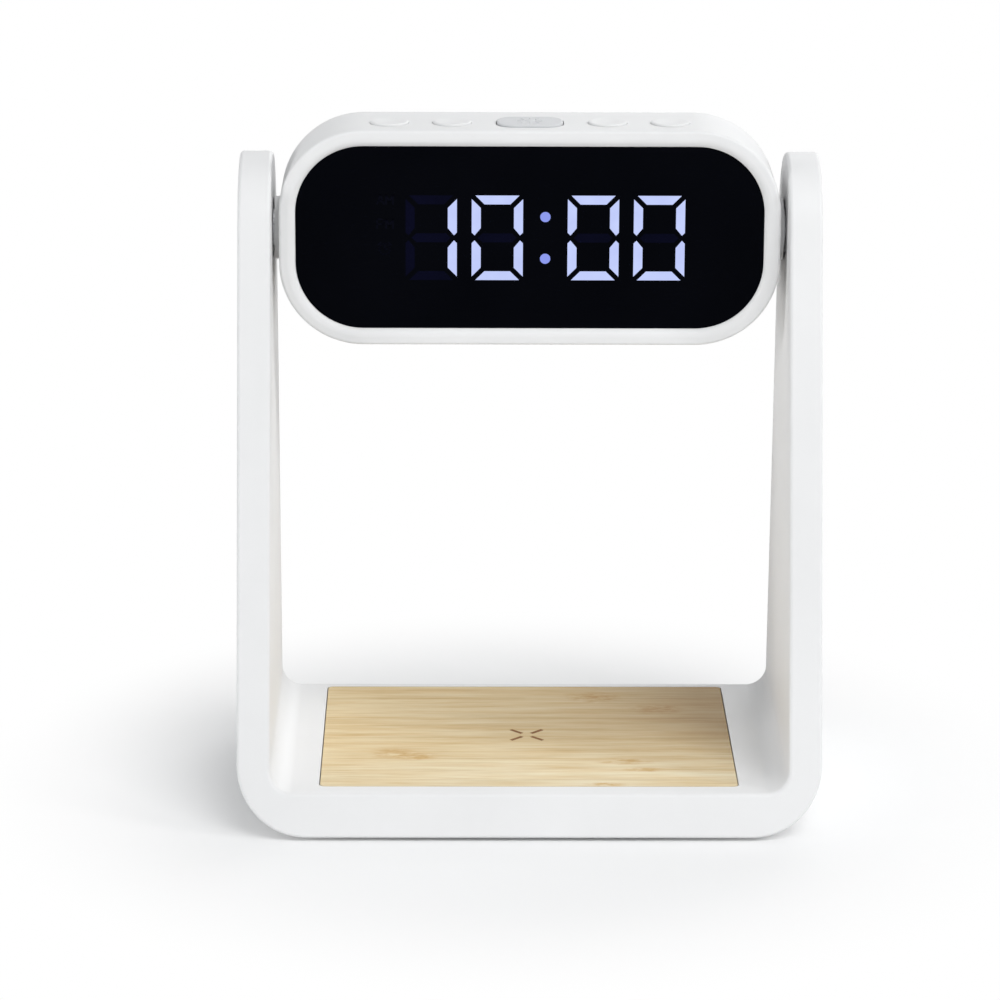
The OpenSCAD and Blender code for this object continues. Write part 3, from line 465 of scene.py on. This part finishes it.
def loft(bm, rings, caps=True):
    """Joins rings of equally many points with quads, and closes the two ends."""
    made = [[bm.verts.new(point) for point in ring] for ring in rings]
    for ring, following in zip(made, made[1:]):
        for k in range(len(ring)):
            nxt = (k + 1) % len(ring)
            bm.faces.new((ring[k], ring[nxt], following[nxt], following[k]))
    if caps:
        bm.faces.new(made[0])
        bm.faces.new(made[-1])


def quarter(steps):
    """Angles from 0 to 90 degrees in equal steps."""
    return [math.radians(90) * k / steps for k in range(steps + 1)]


def rounded_ring(centre, width, depth, radius, z, steps=8):
    """A level rounded rectangle as a ring of points."""
    ring = []
    for turn, (sx, sy) in enumerate(((1, 1), (-1, 1), (-1, -1), (1, -1))):
        for angle in quarter(steps):
            a = angle + turn * math.radians(90)
            x = centre[0] + sx * (width / 2 - radius) + radius * math.cos(a)
            y = centre[1] + sy * (depth / 2 - radius) + radius * math.sin(a)
            ring.append(Vector((x, y, z)))
    return ring


# %% [markdown]
# ## The stand
# The real stand is one moulding with soft edges of about 1 mm that catch a thin highlight.
# A bevel on the solid would fight with its pockets, so the stand is lofted afresh: stations
# run along the U, and at each one a ring of points goes round the section, with a quarter
# circle at each of its four edges. The pockets are cut afterwards.

# %% Slopes of the stand, seen from the side
rise = PIVOT.z - BASE_LOW


def lean(run):
    """Angle of the line from the foot that just touches the round arm top."""
    return math.atan2(run, rise) - math.asin(ARM_TOP_RADIUS / math.hypot(run, rise))


FRONT, BACK = -1, 1
slope = {FRONT: lean(PIVOT.y - stand_low.y), BACK: lean(stand_high.y - PIVOT.y)}
foot_y = {FRONT: stand_low.y, BACK: stand_high.y}
print("front leans", round(math.degrees(slope[FRONT]), 2), "and back", round(math.degrees(slope[BACK]), 2))


def on_slope(face, x, z, inset=0.0):
    """The point of the sloping front or back at x and z, drawn in by inset."""
    y = foot_y[face] - face * ((z - BASE_LOW) * math.tan(slope[face]) + inset / math.cos(slope[face]))
    return Vector((x, y, z))


def on_top(face, x, share, inset=0.0):
    """A point of the round arm top, from the end of the slope (share 0) to the highest point (1)."""
    angle = slope[face] + share * (math.radians(90) - slope[face])
    radius = ARM_TOP_RADIUS - inset
    return Vector((x, PIVOT.y + face * radius * math.cos(angle), PIVOT.z + radius * math.sin(angle)))


# %% Stations along the U and rings round its section
BASE_STEPS, CORNER_STEPS, ARM_STEPS, TOP_STEPS, EDGE_STEPS = 4, 20, 10, 24, 5


def along(face, normal):
    """Direction over a surface, away from the sloping front or back."""
    into = Vector((0, -face * math.cos(slope[face]), -math.sin(slope[face])))
    return (into - into.dot(normal) * normal).normalized()


def station_on_slope(face, outer_xz, inner_xz, outer_normal, inner_normal):
    """Outer point, inner point and the two directions away from the edge."""
    return (
        on_slope(face, *outer_xz), on_slope(face, *inner_xz),
        along(face, Vector((outer_normal[0], 0, outer_normal[1]))),
        along(face, Vector((inner_normal[0], 0, inner_normal[1]))),
    )


def right_half_stations(face):
    """Stations from the middle of the base to the top of the right arm."""
    stations = []
    for k in range(BASE_STEPS):
        share = k / BASE_STEPS
        outer = (share * (HALF_WIDTH - CORNER_RADIUS), BASE_LOW)
        inner = (share * (ARM_INNER - INNER_RADIUS), BASE_TOP)
        stations.append(station_on_slope(face, outer, inner, (0, -1), (0, 1)))
    for angle in quarter(CORNER_STEPS):
        side = (math.sin(angle), -math.cos(angle))
        outer = (
            HALF_WIDTH - CORNER_RADIUS + CORNER_RADIUS * side[0],
            BASE_LOW + CORNER_RADIUS + CORNER_RADIUS * side[1],
        )
        inner = (
            ARM_INNER - INNER_RADIUS + INNER_RADIUS * side[0],
            BASE_TOP + INNER_RADIUS + INNER_RADIUS * side[1],
        )
        stations.append(station_on_slope(face, outer, inner, side, side))
    end = PIVOT.z + ARM_TOP_RADIUS * math.sin(slope[face])
    for k in range(1, ARM_STEPS):
        share = k / ARM_STEPS
        outer = (HALF_WIDTH, (1 - share) * (BASE_LOW + CORNER_RADIUS) + share * end)
        inner = (ARM_INNER, (1 - share) * (BASE_TOP + INNER_RADIUS) + share * end)
        stations.append(station_on_slope(face, outer, inner, (1, 0), (1, 0)))
    for k in range(TOP_STEPS + 1):
        outer, inner = (on_top(face, x, k / TOP_STEPS) for x in (HALF_WIDTH, ARM_INNER))
        inward = Vector((0, PIVOT.y - outer.y, PIVOT.z - outer.z)).normalized()
        stations.append((outer, inner, inward, inward))
    return stations


def edge_band(station):
    """Points from the outer surface over the rounded edges and the face to the inner surface."""
    outer, inner, from_outer, from_inner = station
    through = (inner - outer).normalized()
    band = []
    for angle in quarter(EDGE_STEPS):
        sunk, back = EDGE_RADIUS * (1 - math.cos(angle)), EDGE_RADIUS * (1 - math.sin(angle))
        band.append((
            outer + through * sunk + from_outer * back,
            inner - through * sunk + from_inner * back,
        ))
    return [pair[0] for pair in band] + [pair[1] for pair in reversed(band)]


def mirrored(ring):
    """The same ring on the left arm."""
    return [Vector((-point.x, point.y, point.z)) for point in ring]


right_rings = []
for front_station, back_station in zip(right_half_stations(FRONT), right_half_stations(BACK)):
    right_rings.append(edge_band(front_station) + list(reversed(edge_band(back_station))))
stand_rings = [mirrored(ring) for ring in reversed(right_rings[1:])] + right_rings
print("stations:", len(stand_rings), "points round each:", len(stand_rings[0]))

# %% [markdown]
# The pockets are cut with exact booleans: the recess of the pad, the two inlaid arm covers,
# the cover of the underside, the bushes of the pivots and the mouth of the power socket. The
# fast kind of boolean is quicker, but it can leave gaps where a wall is thin.

# %% Cutters for the pockets
COVER_RIM = 3 * MM
COVER_DEPTH = 1.6 * MM
COVER_STEPS = 29
UNDER_DEPTH = 2 * MM
PAD_CORNER = 1.5 * MM
ADHESIVE = 0.2 * MM
BUSH_RADIUS = 8.5 * MM
BUSH_DEPTH = 1.5 * MM
OUTSIDE = 5 * MM
UNDER_CORNER = 0.2 * MM
SOCKET_CORNER = 1.5 * MM


def cutter(name, rings):
    """A closed body that a boolean takes away."""
    bm = bmesh.new()
    loft(bm, rings)
    bmesh.ops.remove_doubles(bm, verts=bm.verts, dist=WELD)
    bmesh.ops.recalc_face_normals(bm, faces=bm.faces)
    mesh = bpy.data.meshes.new(name)
    bm.to_mesh(mesh)
    bm.free()
    made = bpy.data.objects.new(name, mesh)
    bpy.context.scene.collection.objects.link(made)
    return made


def box_grown(node, gap):
    """The box of a solid with a gap all round."""
    low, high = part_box(node)
    grow = Vector((gap, gap, gap))
    return low - grow, high + grow


cover_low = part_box("right_arm_cover")[0].z - SEAM


def cover_ring(x):
    """Outline of an arm cover at x."""
    ring = [on_slope(FRONT, x, cover_low, COVER_RIM), on_slope(BACK, x, cover_low, COVER_RIM)]
    ring += [on_top(BACK, x, k / COVER_STEPS, COVER_RIM) for k in range(COVER_STEPS)]
    ring += [on_top(FRONT, x, 1 - k / COVER_STEPS, COVER_RIM) for k in range(COVER_STEPS + 1)]
    return ring


def disc_ring(x, radius, steps=64):
    """A circle round the tilt axis at x."""
    turns = [2 * math.pi * k / steps for k in range(steps)]
    return [Vector((x, PIVOT.y + radius * math.cos(a), PIVOT.z + radius * math.sin(a))) for a in turns]


pad_middle = (pad_low + pad_high) / 2
pad_size = pad_high - pad_low
cutters = [cutter("pad recess", [
    rounded_ring(pad_middle, pad_size.x + 2 * SEAM, pad_size.y + 2 * SEAM, PAD_CORNER + SEAM, z)
    for z in (pad_low.z - ADHESIVE, BASE_TOP + OUTSIDE)
])]
for side in (-1, 1):
    cutters.append(cutter("cover pocket", [
        cover_ring(side * x) for x in (HALF_WIDTH - COVER_DEPTH, HALF_WIDTH + OUTSIDE)
    ]))
    cutters.append(cutter("bush seat", [
        disc_ring(side * x, BUSH_RADIUS) for x in (ARM_INNER - OUTSIDE, ARM_INNER + BUSH_DEPTH)
    ]))
under_low, under_high = box_grown("base_cover", SEAM)
under_middle, under_size = (under_low + under_high) / 2, under_high - under_low
cutters.append(cutter("underside pocket", [
    rounded_ring(under_middle, under_size.x, under_size.y, UNDER_CORNER, z, 1)
    for z in (-OUTSIDE, BASE_LOW + UNDER_DEPTH)
]))
socket_low, socket_high = box_grown("usb_c_socket", SEAM)
socket_middle, socket_size = (socket_low + socket_high) / 2, socket_high - socket_low


def socket_ring(y):
    """Outline of the power socket at y."""
    flat = rounded_ring((0, 0), socket_size.x, socket_size.z, SOCKET_CORNER, 0)
    return [Vector((socket_middle.x + p.x, y, socket_middle.z + p.y)) for p in flat]


cutters.append(cutter("socket mouth", [socket_ring(y) for y in (socket_low.y, stand_high.y + OUTSIDE)]))
print("cutters:", len(cutters))

# %% Loft the stand and cut its pockets
bm = bmesh.new()
loft(bm, stand_rings, caps=False)
bmesh.ops.remove_doubles(bm, verts=bm.verts, dist=WELD)
bmesh.ops.dissolve_degenerate(bm, edges=bm.edges, dist=FLAT)
bmesh.ops.recalc_face_normals(bm, faces=bm.faces)
blank_mesh = bpy.data.meshes.new("stand blank")
bm.to_mesh(blank_mesh)
bm.free()
blank = bpy.data.objects.new("stand blank", blank_mesh)
bpy.context.scene.collection.objects.link(blank)
for tool in cutters:
    cut = blank.modifiers.new("cut", "BOOLEAN")
    cut.operation = "DIFFERENCE"
    cut.solver = "EXACT"
    cut.object = tool
bpy.context.view_layer.update()
bm = bmesh.new()
bm.from_object(blank, bpy.context.evaluated_depsgraph_get())
for spent in (blank, *cutters):
    bpy.data.objects.remove(spent)
stand = finish_mesh(bm, "stand", "white_plastic", "frame", ["u_frame"])
print("stand faces:", len(stand.data.polygons))

# %% [markdown]
# ## Buttons
# The four round buttons are turned shapes: a dish in the top, a rounded rim, a skirt in the
# hole and a flange below it that keeps the button in. A profile spun round the button's axis
# gives all of that. The lamp button is a stack of rounded rectangles, each a little smaller,
# with a raised sun on top as the sign for light.

# %% Round buttons
BUTTON_RADIUS = 5.36 * MM
BUTTON_RIM = 0.45 * MM
DISH_DEPTH = 0.35 * MM
FLANGE_RADIUS = 6.1 * MM
FLANGE_THICKNESS = 1.2 * MM
STEM_RADIUS = 1.5 * MM
TURN_STEPS, RIM_STEPS, DISH_STEPS = 64, 5, 8
HEAD_WALL = 2.3 * MM
FLANGE_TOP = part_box("head_shell")[1].z - HEAD_WALL


def turned(profile, centre):
    """Rings for a profile of radius and height spun round an upright axis."""
    rings = []
    for radius, z in profile:
        turns = [2 * math.pi * k / TURN_STEPS for k in range(TURN_STEPS)]
        rings.append([
            Vector((centre.x + radius * math.cos(a), centre.y + radius * math.sin(a), z)) for a in turns
        ])
    return rings


def button_profile(low, high):
    """Radius and height from the stem over flange and rim to the middle of the dish."""
    dish_radius = BUTTON_RADIUS - 2 * BUTTON_RIM
    profile = [(0, low), (STEM_RADIUS, low), (STEM_RADIUS, FLANGE_TOP - FLANGE_THICKNESS)]
    profile += [(FLANGE_RADIUS, FLANGE_TOP - FLANGE_THICKNESS), (FLANGE_RADIUS, FLANGE_TOP)]
    profile += [(BUTTON_RADIUS, FLANGE_TOP)]
    for angle in quarter(RIM_STEPS):
        profile.append((
            BUTTON_RADIUS - BUTTON_RIM * (1 - math.cos(angle)), high - BUTTON_RIM * (1 - math.sin(angle))
        ))
    for k in range(DISH_STEPS + 1):
        share = 1 - k / DISH_STEPS
        profile.append((dish_radius * share, high - DISH_DEPTH * (1 - share * share)))
    return profile


ROUND_BUTTONS = ("left_outer", "left_inner", "right_inner", "right_outer")
for name in ROUND_BUTTONS:
    low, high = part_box(name + "_button")
    bm = bmesh.new()
    loft(bm, turned(button_profile(low.z, high.z), (low + high) / 2), caps=False)
    finish_mesh(bm, name + "_cap", "white_plastic", name + "_key", [name + "_button"])
print("round caps:", len(ROUND_BUTTONS), "radius in mm:", round(BUTTON_RADIUS / MM, 2))

# %% Lamp button with its raised light sign
LAMP_WIDTH, LAMP_DEPTH, LAMP_CORNER, LAMP_RIM = 18.2 * MM, 12.6 * MM, 4.8 * MM, 0.55 * MM
LAMP_FLANGE, STEM_SUNK = 0.8 * MM, 0.5 * MM
SIGN_HEIGHT, SIGN_SUNK = 0.2 * MM, 0.1 * MM
ROUND_END = 0.45
low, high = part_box("lamp_button")
lamp_middle = (low + high) / 2
lamp_top = high.z - SIGN_HEIGHT
levels = [
    (LAMP_WIDTH + 2 * LAMP_FLANGE, LAMP_DEPTH, LAMP_CORNER, z)
    for z in (FLANGE_TOP - FLANGE_THICKNESS, FLANGE_TOP)
]
levels.append((LAMP_WIDTH, LAMP_DEPTH, LAMP_CORNER, FLANGE_TOP))
for angle in quarter(RIM_STEPS):
    inset = LAMP_RIM * (1 - math.cos(angle))
    levels.append((
        LAMP_WIDTH - 2 * inset, LAMP_DEPTH - 2 * inset, LAMP_CORNER - inset,
        lamp_top - LAMP_RIM * (1 - math.sin(angle)),
    ))
bm = bmesh.new()
loft(bm, [rounded_ring(lamp_middle, *level) for level in levels])
stem_top = FLANGE_TOP - STEM_SUNK
stem = [(0, low.z), (STEM_RADIUS, low.z), (STEM_RADIUS, stem_top), (0, stem_top)]
loft(bm, turned(stem, lamp_middle), caps=False)

SIGN_RADIUS, RAY_START, RAY_END, RAY_WIDTH = 1.4 * MM, 2.2 * MM, 3.5 * MM, 0.6 * MM
RAYS, SUN_STEPS = 8, 4
sign_low = lamp_top - SIGN_SUNK
sun = [(0, sign_low), (SIGN_RADIUS, sign_low)]
for angle in quarter(SUN_STEPS):
    sun.append((SIGN_RADIUS * math.cos(angle), lamp_top + SIGN_HEIGHT * math.sin(angle)))
loft(bm, turned(sun, lamp_middle), caps=False)
ray_middle = ((RAY_START + RAY_END) / 2, 0)
ray_levels = ((sign_low, RAY_WIDTH), (lamp_top, RAY_WIDTH), (lamp_top + SIGN_HEIGHT, RAY_WIDTH / 2))
for k in range(RAYS):
    turn = Matrix.Rotation(math.radians(360 / RAYS * k), 4, "Z")
    rings = []
    for z, width in ray_levels:
        flat = rounded_ring(ray_middle, RAY_END - RAY_START, width, width * ROUND_END, 0, 3)
        rings.append([turn @ p + Vector((lamp_middle.x, lamp_middle.y, z)) for p in flat])
    loft(bm, rings)
lamp_cap = finish_mesh(bm, "lamp_cap", "grey_plastic", "lamp_key", ["lamp_button"])
print("lamp cap faces:", len(lamp_cap.data.polygons))

# %% [markdown]
# ## Signs that are not lit
# Left of the digits the display has three more light guides: AM, PM and an alarm clock. They
# are off, so they show only as faint blue shapes, a touch darker than the unlit bars, with a
# finish of their own. A text object would bring a font's curves along, so each sign is made of
# straight strokes: thin slips with round ends, let into the face of the panel.

# %% Unlit signs of the display
STROKE, STROKE_PROUD, STROKE_SUNK = 0.38 * MM, 0.02 * MM, 0.1 * MM
LETTER_SIZE = Vector((1.9, 2.6)) * MM
LETTER_STEP = Vector((2.5, 0)) * MM
LETTERS = {
    "A": [(0, 0), (0.5, 1), (1, 0), None, (0.2, 0.36), (0.8, 0.36)],
    "M": [(0, 0), (0, 1), (0.5, 0.3), (1, 1), (1, 0)],
    "P": [(0, 0), (0, 1), (0.8, 1), (1, 0.85), (1, 0.62), (0.8, 0.47), (0, 0.47)],
}
finishes["unlit_sign"] = plain_finish(
    "unlit signs", screen(8, 9, 18), screen(10, 11, 22), 60, (0.2, 0.3), Specular_IOR_Level=0.012
)
panel_low, panel_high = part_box("display_lens")
panel_middle = (panel_low + panel_high) / 2


def add_stroke(bm, start, end):
    """A slip with round ends between two points, given from the middle of the panel's face."""
    run = end - start
    turn = Matrix.Rotation(math.atan2(run.y, run.x), 2)
    flat = rounded_ring((0, 0), run.length + STROKE, STROKE, ROUND_END * STROKE, 0, 2)
    spots = [(start + end) / 2 + turn @ point.xy for point in flat]
    loft(bm, [
        [Vector((panel_middle.x + spot.x, panel_low.y + y, panel_middle.z + spot.y)) for spot in spots]
        for y in (STROKE_SUNK, -STROKE_PROUD)
    ])


def add_path(bm, points, place, size):
    """Strokes from point to point; None lifts the pen."""
    for first, second in zip(points, points[1:]):
        if first and second:
            start, end = (Vector((p[0] * size.x, p[1] * size.y)) + place for p in (first, second))
            add_stroke(bm, start, end)


WORDS = {"AM": (-42.0, 9.4), "PM": (-42.0, 2.6)}
bm = bmesh.new()
for word, corner in WORDS.items():
    for k, letter in enumerate(word):
        add_path(bm, LETTERS[letter], Vector(corner) * MM + k * LETTER_STEP, LETTER_SIZE)
ALARM_PLACE, ALARM_RADIUS = Vector((-39.9, -3.2)) * MM, Vector((1.55, 1.55)) * MM
rim = [(math.cos(math.radians(30 * k)), math.sin(math.radians(30 * k))) for k in range(13)]
hands = [(0, 0.62), (0, 0), (0.45, 0)]
bells = [(-1.15, 0.75), (-0.7, 1.2), None, (0.7, 1.2), (1.15, 0.75)]
for strokes in (rim, hands, bells):
    add_path(bm, strokes, ALARM_PLACE, ALARM_RADIUS)
signs = finish_mesh(bm, "unlit_signs", "unlit_sign", "head", weld=False)
print("sign faces:", len(signs.data.polygons))

# %% [markdown]
# ## The burnt-in mark
# Four short dashes in the middle of the pad show where a phone goes. On the real pad they are
# burnt by a laser, so the groove's floor is charred. A thin brown slip in each groove does that,
# with a charred finish of its own.

# %% Charred dashes
MARK_IN, MARK_OUT, MARK_WIDTH = 1.82 * MM, 6.38 * MM, 1.21 * MM
MARK_FLOOR, MARK_LEVEL, MARK_CORNER = 0.2 * MM, 0.05 * MM, 0.05 * MM
DASHES, CHAR_DEPTH = 4, 0.02 * MM
finishes["charred"] = plain_finish(
    "charred bamboo", screen(120, 82, 52), screen(156, 112, 76), 1500, (0.7, 0.85), CHAR_DEPTH,
    (0.2, 1, 1), Specular_IOR_Level=0.2,
)
bm = bmesh.new()
dash_middle = ((MARK_IN + MARK_OUT) / 2, 0)
for k in range(DASHES):
    turn = Matrix.Rotation(math.radians(45 + 90 * k), 4, "Z")
    rings = []
    for z in (BASE_TOP - MARK_FLOOR, BASE_TOP - MARK_LEVEL):
        flat = rounded_ring(dash_middle, MARK_OUT - MARK_IN, MARK_WIDTH, MARK_CORNER, 0, 2)
        rings.append([turn @ p + Vector((pad_middle.x, pad_middle.y, z)) for p in flat])
    loft(bm, rings)
mark = finish_mesh(bm, "burnt_mark", "charred", "frame")
print("dashes:", DASHES, "faces:", len(mark.data.polygons))

# %% [markdown]
# ## Studio
# A photograph of a white object needs light from one main side, or its faces run together. So
# a wide soft lamp hangs high in front, a bit to the right, and a smaller one helps it on the
# right. Weak lamps at the left, front, top and rear open the shadows, and an even, slightly
# cool dome does the rest. To the camera the floor fades into white at a distance, so no horizon
# shows; near the object it is a plain matt floor that takes the shadow.

# %% Floor
FLOOR_HALF = 6.0
FADE_NEAR, FADE_FAR = 0.05, 0.16
bm = bmesh.new()
bmesh.ops.create_grid(bm, x_segments=2, y_segments=2, size=FLOOR_HALF)
floor_mesh = bpy.data.meshes.new("floor")
bm.to_mesh(floor_mesh)
bm.free()
floor = bpy.data.objects.new("floor", floor_mesh)
bpy.context.scene.collection.objects.link(floor)
floor_material, tree, shader, place = start_finish("pale floor", Roughness=0.9, Specular_IOR_Level=0.0)
shader.inputs["Base Color"].default_value = screen(250, 250, 250)
far = put(tree, "ShaderNodeVectorMath", {"operation": "LENGTH"}, _0=place)
fade = put(
    tree, "ShaderNodeMapRange", {"interpolation_type": "SMOOTHSTEP"},
    Value=far.outputs["Value"], From_Min=FADE_NEAR, From_Max=FADE_FAR,
)


def seen_ray(tree):
    """1 for rays that show the background: camera, mirror and glass rays."""
    path = put(tree, "ShaderNodeLightPath")
    first = put(
        tree, "ShaderNodeMath", {"operation": "MAXIMUM"},
        _0=path.outputs["Is Camera Ray"], _1=path.outputs["Is Glossy Ray"],
    )
    second = put(
        tree, "ShaderNodeMath", {"operation": "MAXIMUM"},
        _0=first.outputs[0], _1=path.outputs["Is Transmission Ray"],
    )
    return second.outputs[0]


whiteness = put(
    tree, "ShaderNodeMath", {"operation": "MULTIPLY"}, _0=fade.outputs["Result"], _1=seen_ray(tree)
)
pure_white = put(tree, "ShaderNodeEmission", Color=(1, 1, 1, 1), Strength=1.0)
blend = put(
    tree, "ShaderNodeMixShader", _0=whiteness.outputs[0], _1=shader.outputs[0], _2=pure_white.outputs[0]
)
tree.links.new(blend.outputs[0], tree.nodes["Material Output"].inputs["Surface"])
floor_mesh.materials.append(floor_material)
print("floor size in m:", 2 * FLOOR_HALF)

# %% Dome and lamps
DOME_LEVEL = 0.26
DOME_COLOUR = (0.92, 0.96, 1, 1)
LAMP_AIM = Vector((0, 0, 0.09))
world = bpy.data.worlds.new("studio")
world.use_nodes = True
bpy.context.scene.world = world
tree = world.node_tree
dome = tree.nodes["Background"]
dome.inputs["Color"].default_value = DOME_COLOUR
dome.inputs["Strength"].default_value = DOME_LEVEL
backdrop = put(tree, "ShaderNodeBackground", Color=(1, 1, 1, 1), Strength=1.0)
choice = put(tree, "ShaderNodeMixShader", _0=seen_ray(tree), _1=dome.outputs[0], _2=backdrop.outputs[0])
tree.links.new(choice.outputs[0], tree.nodes["World Output"].inputs["Surface"])


def soft_lamp(name, place, size, power):
    """A square area lamp that points at the middle of the object."""
    data = bpy.data.lights.new(name, "AREA")
    data.size = size
    data.energy = power
    lamp = bpy.data.objects.new(name, data)
    lamp.location = place
    beam = LAMP_AIM - Vector(place)
    lamp.rotation_euler = beam.to_track_quat("-Z", "Y").to_euler()
    bpy.context.scene.collection.objects.link(lamp)


soft_lamp("high key", (0.9, -1.6, 2.3), 1.4, 34.0)
soft_lamp("right key", (2.0, -0.8, 1.2), 0.5, 14.5)
soft_lamp("left fill", (-1.9, -0.9, 0.32), 0.6, 12.5)
soft_lamp("front fill", (0.3, -2.4, 0.5), 0.9, 2.0)
soft_lamp("top fill", (0.3, 0.0, 2.3), 1.0, 4.5)
soft_lamp("rear fill", (0.6, 1.6, 1.2), 1.1, 8.0)
print("dome level:", DOME_LEVEL, "lamps:", len(bpy.data.lights))
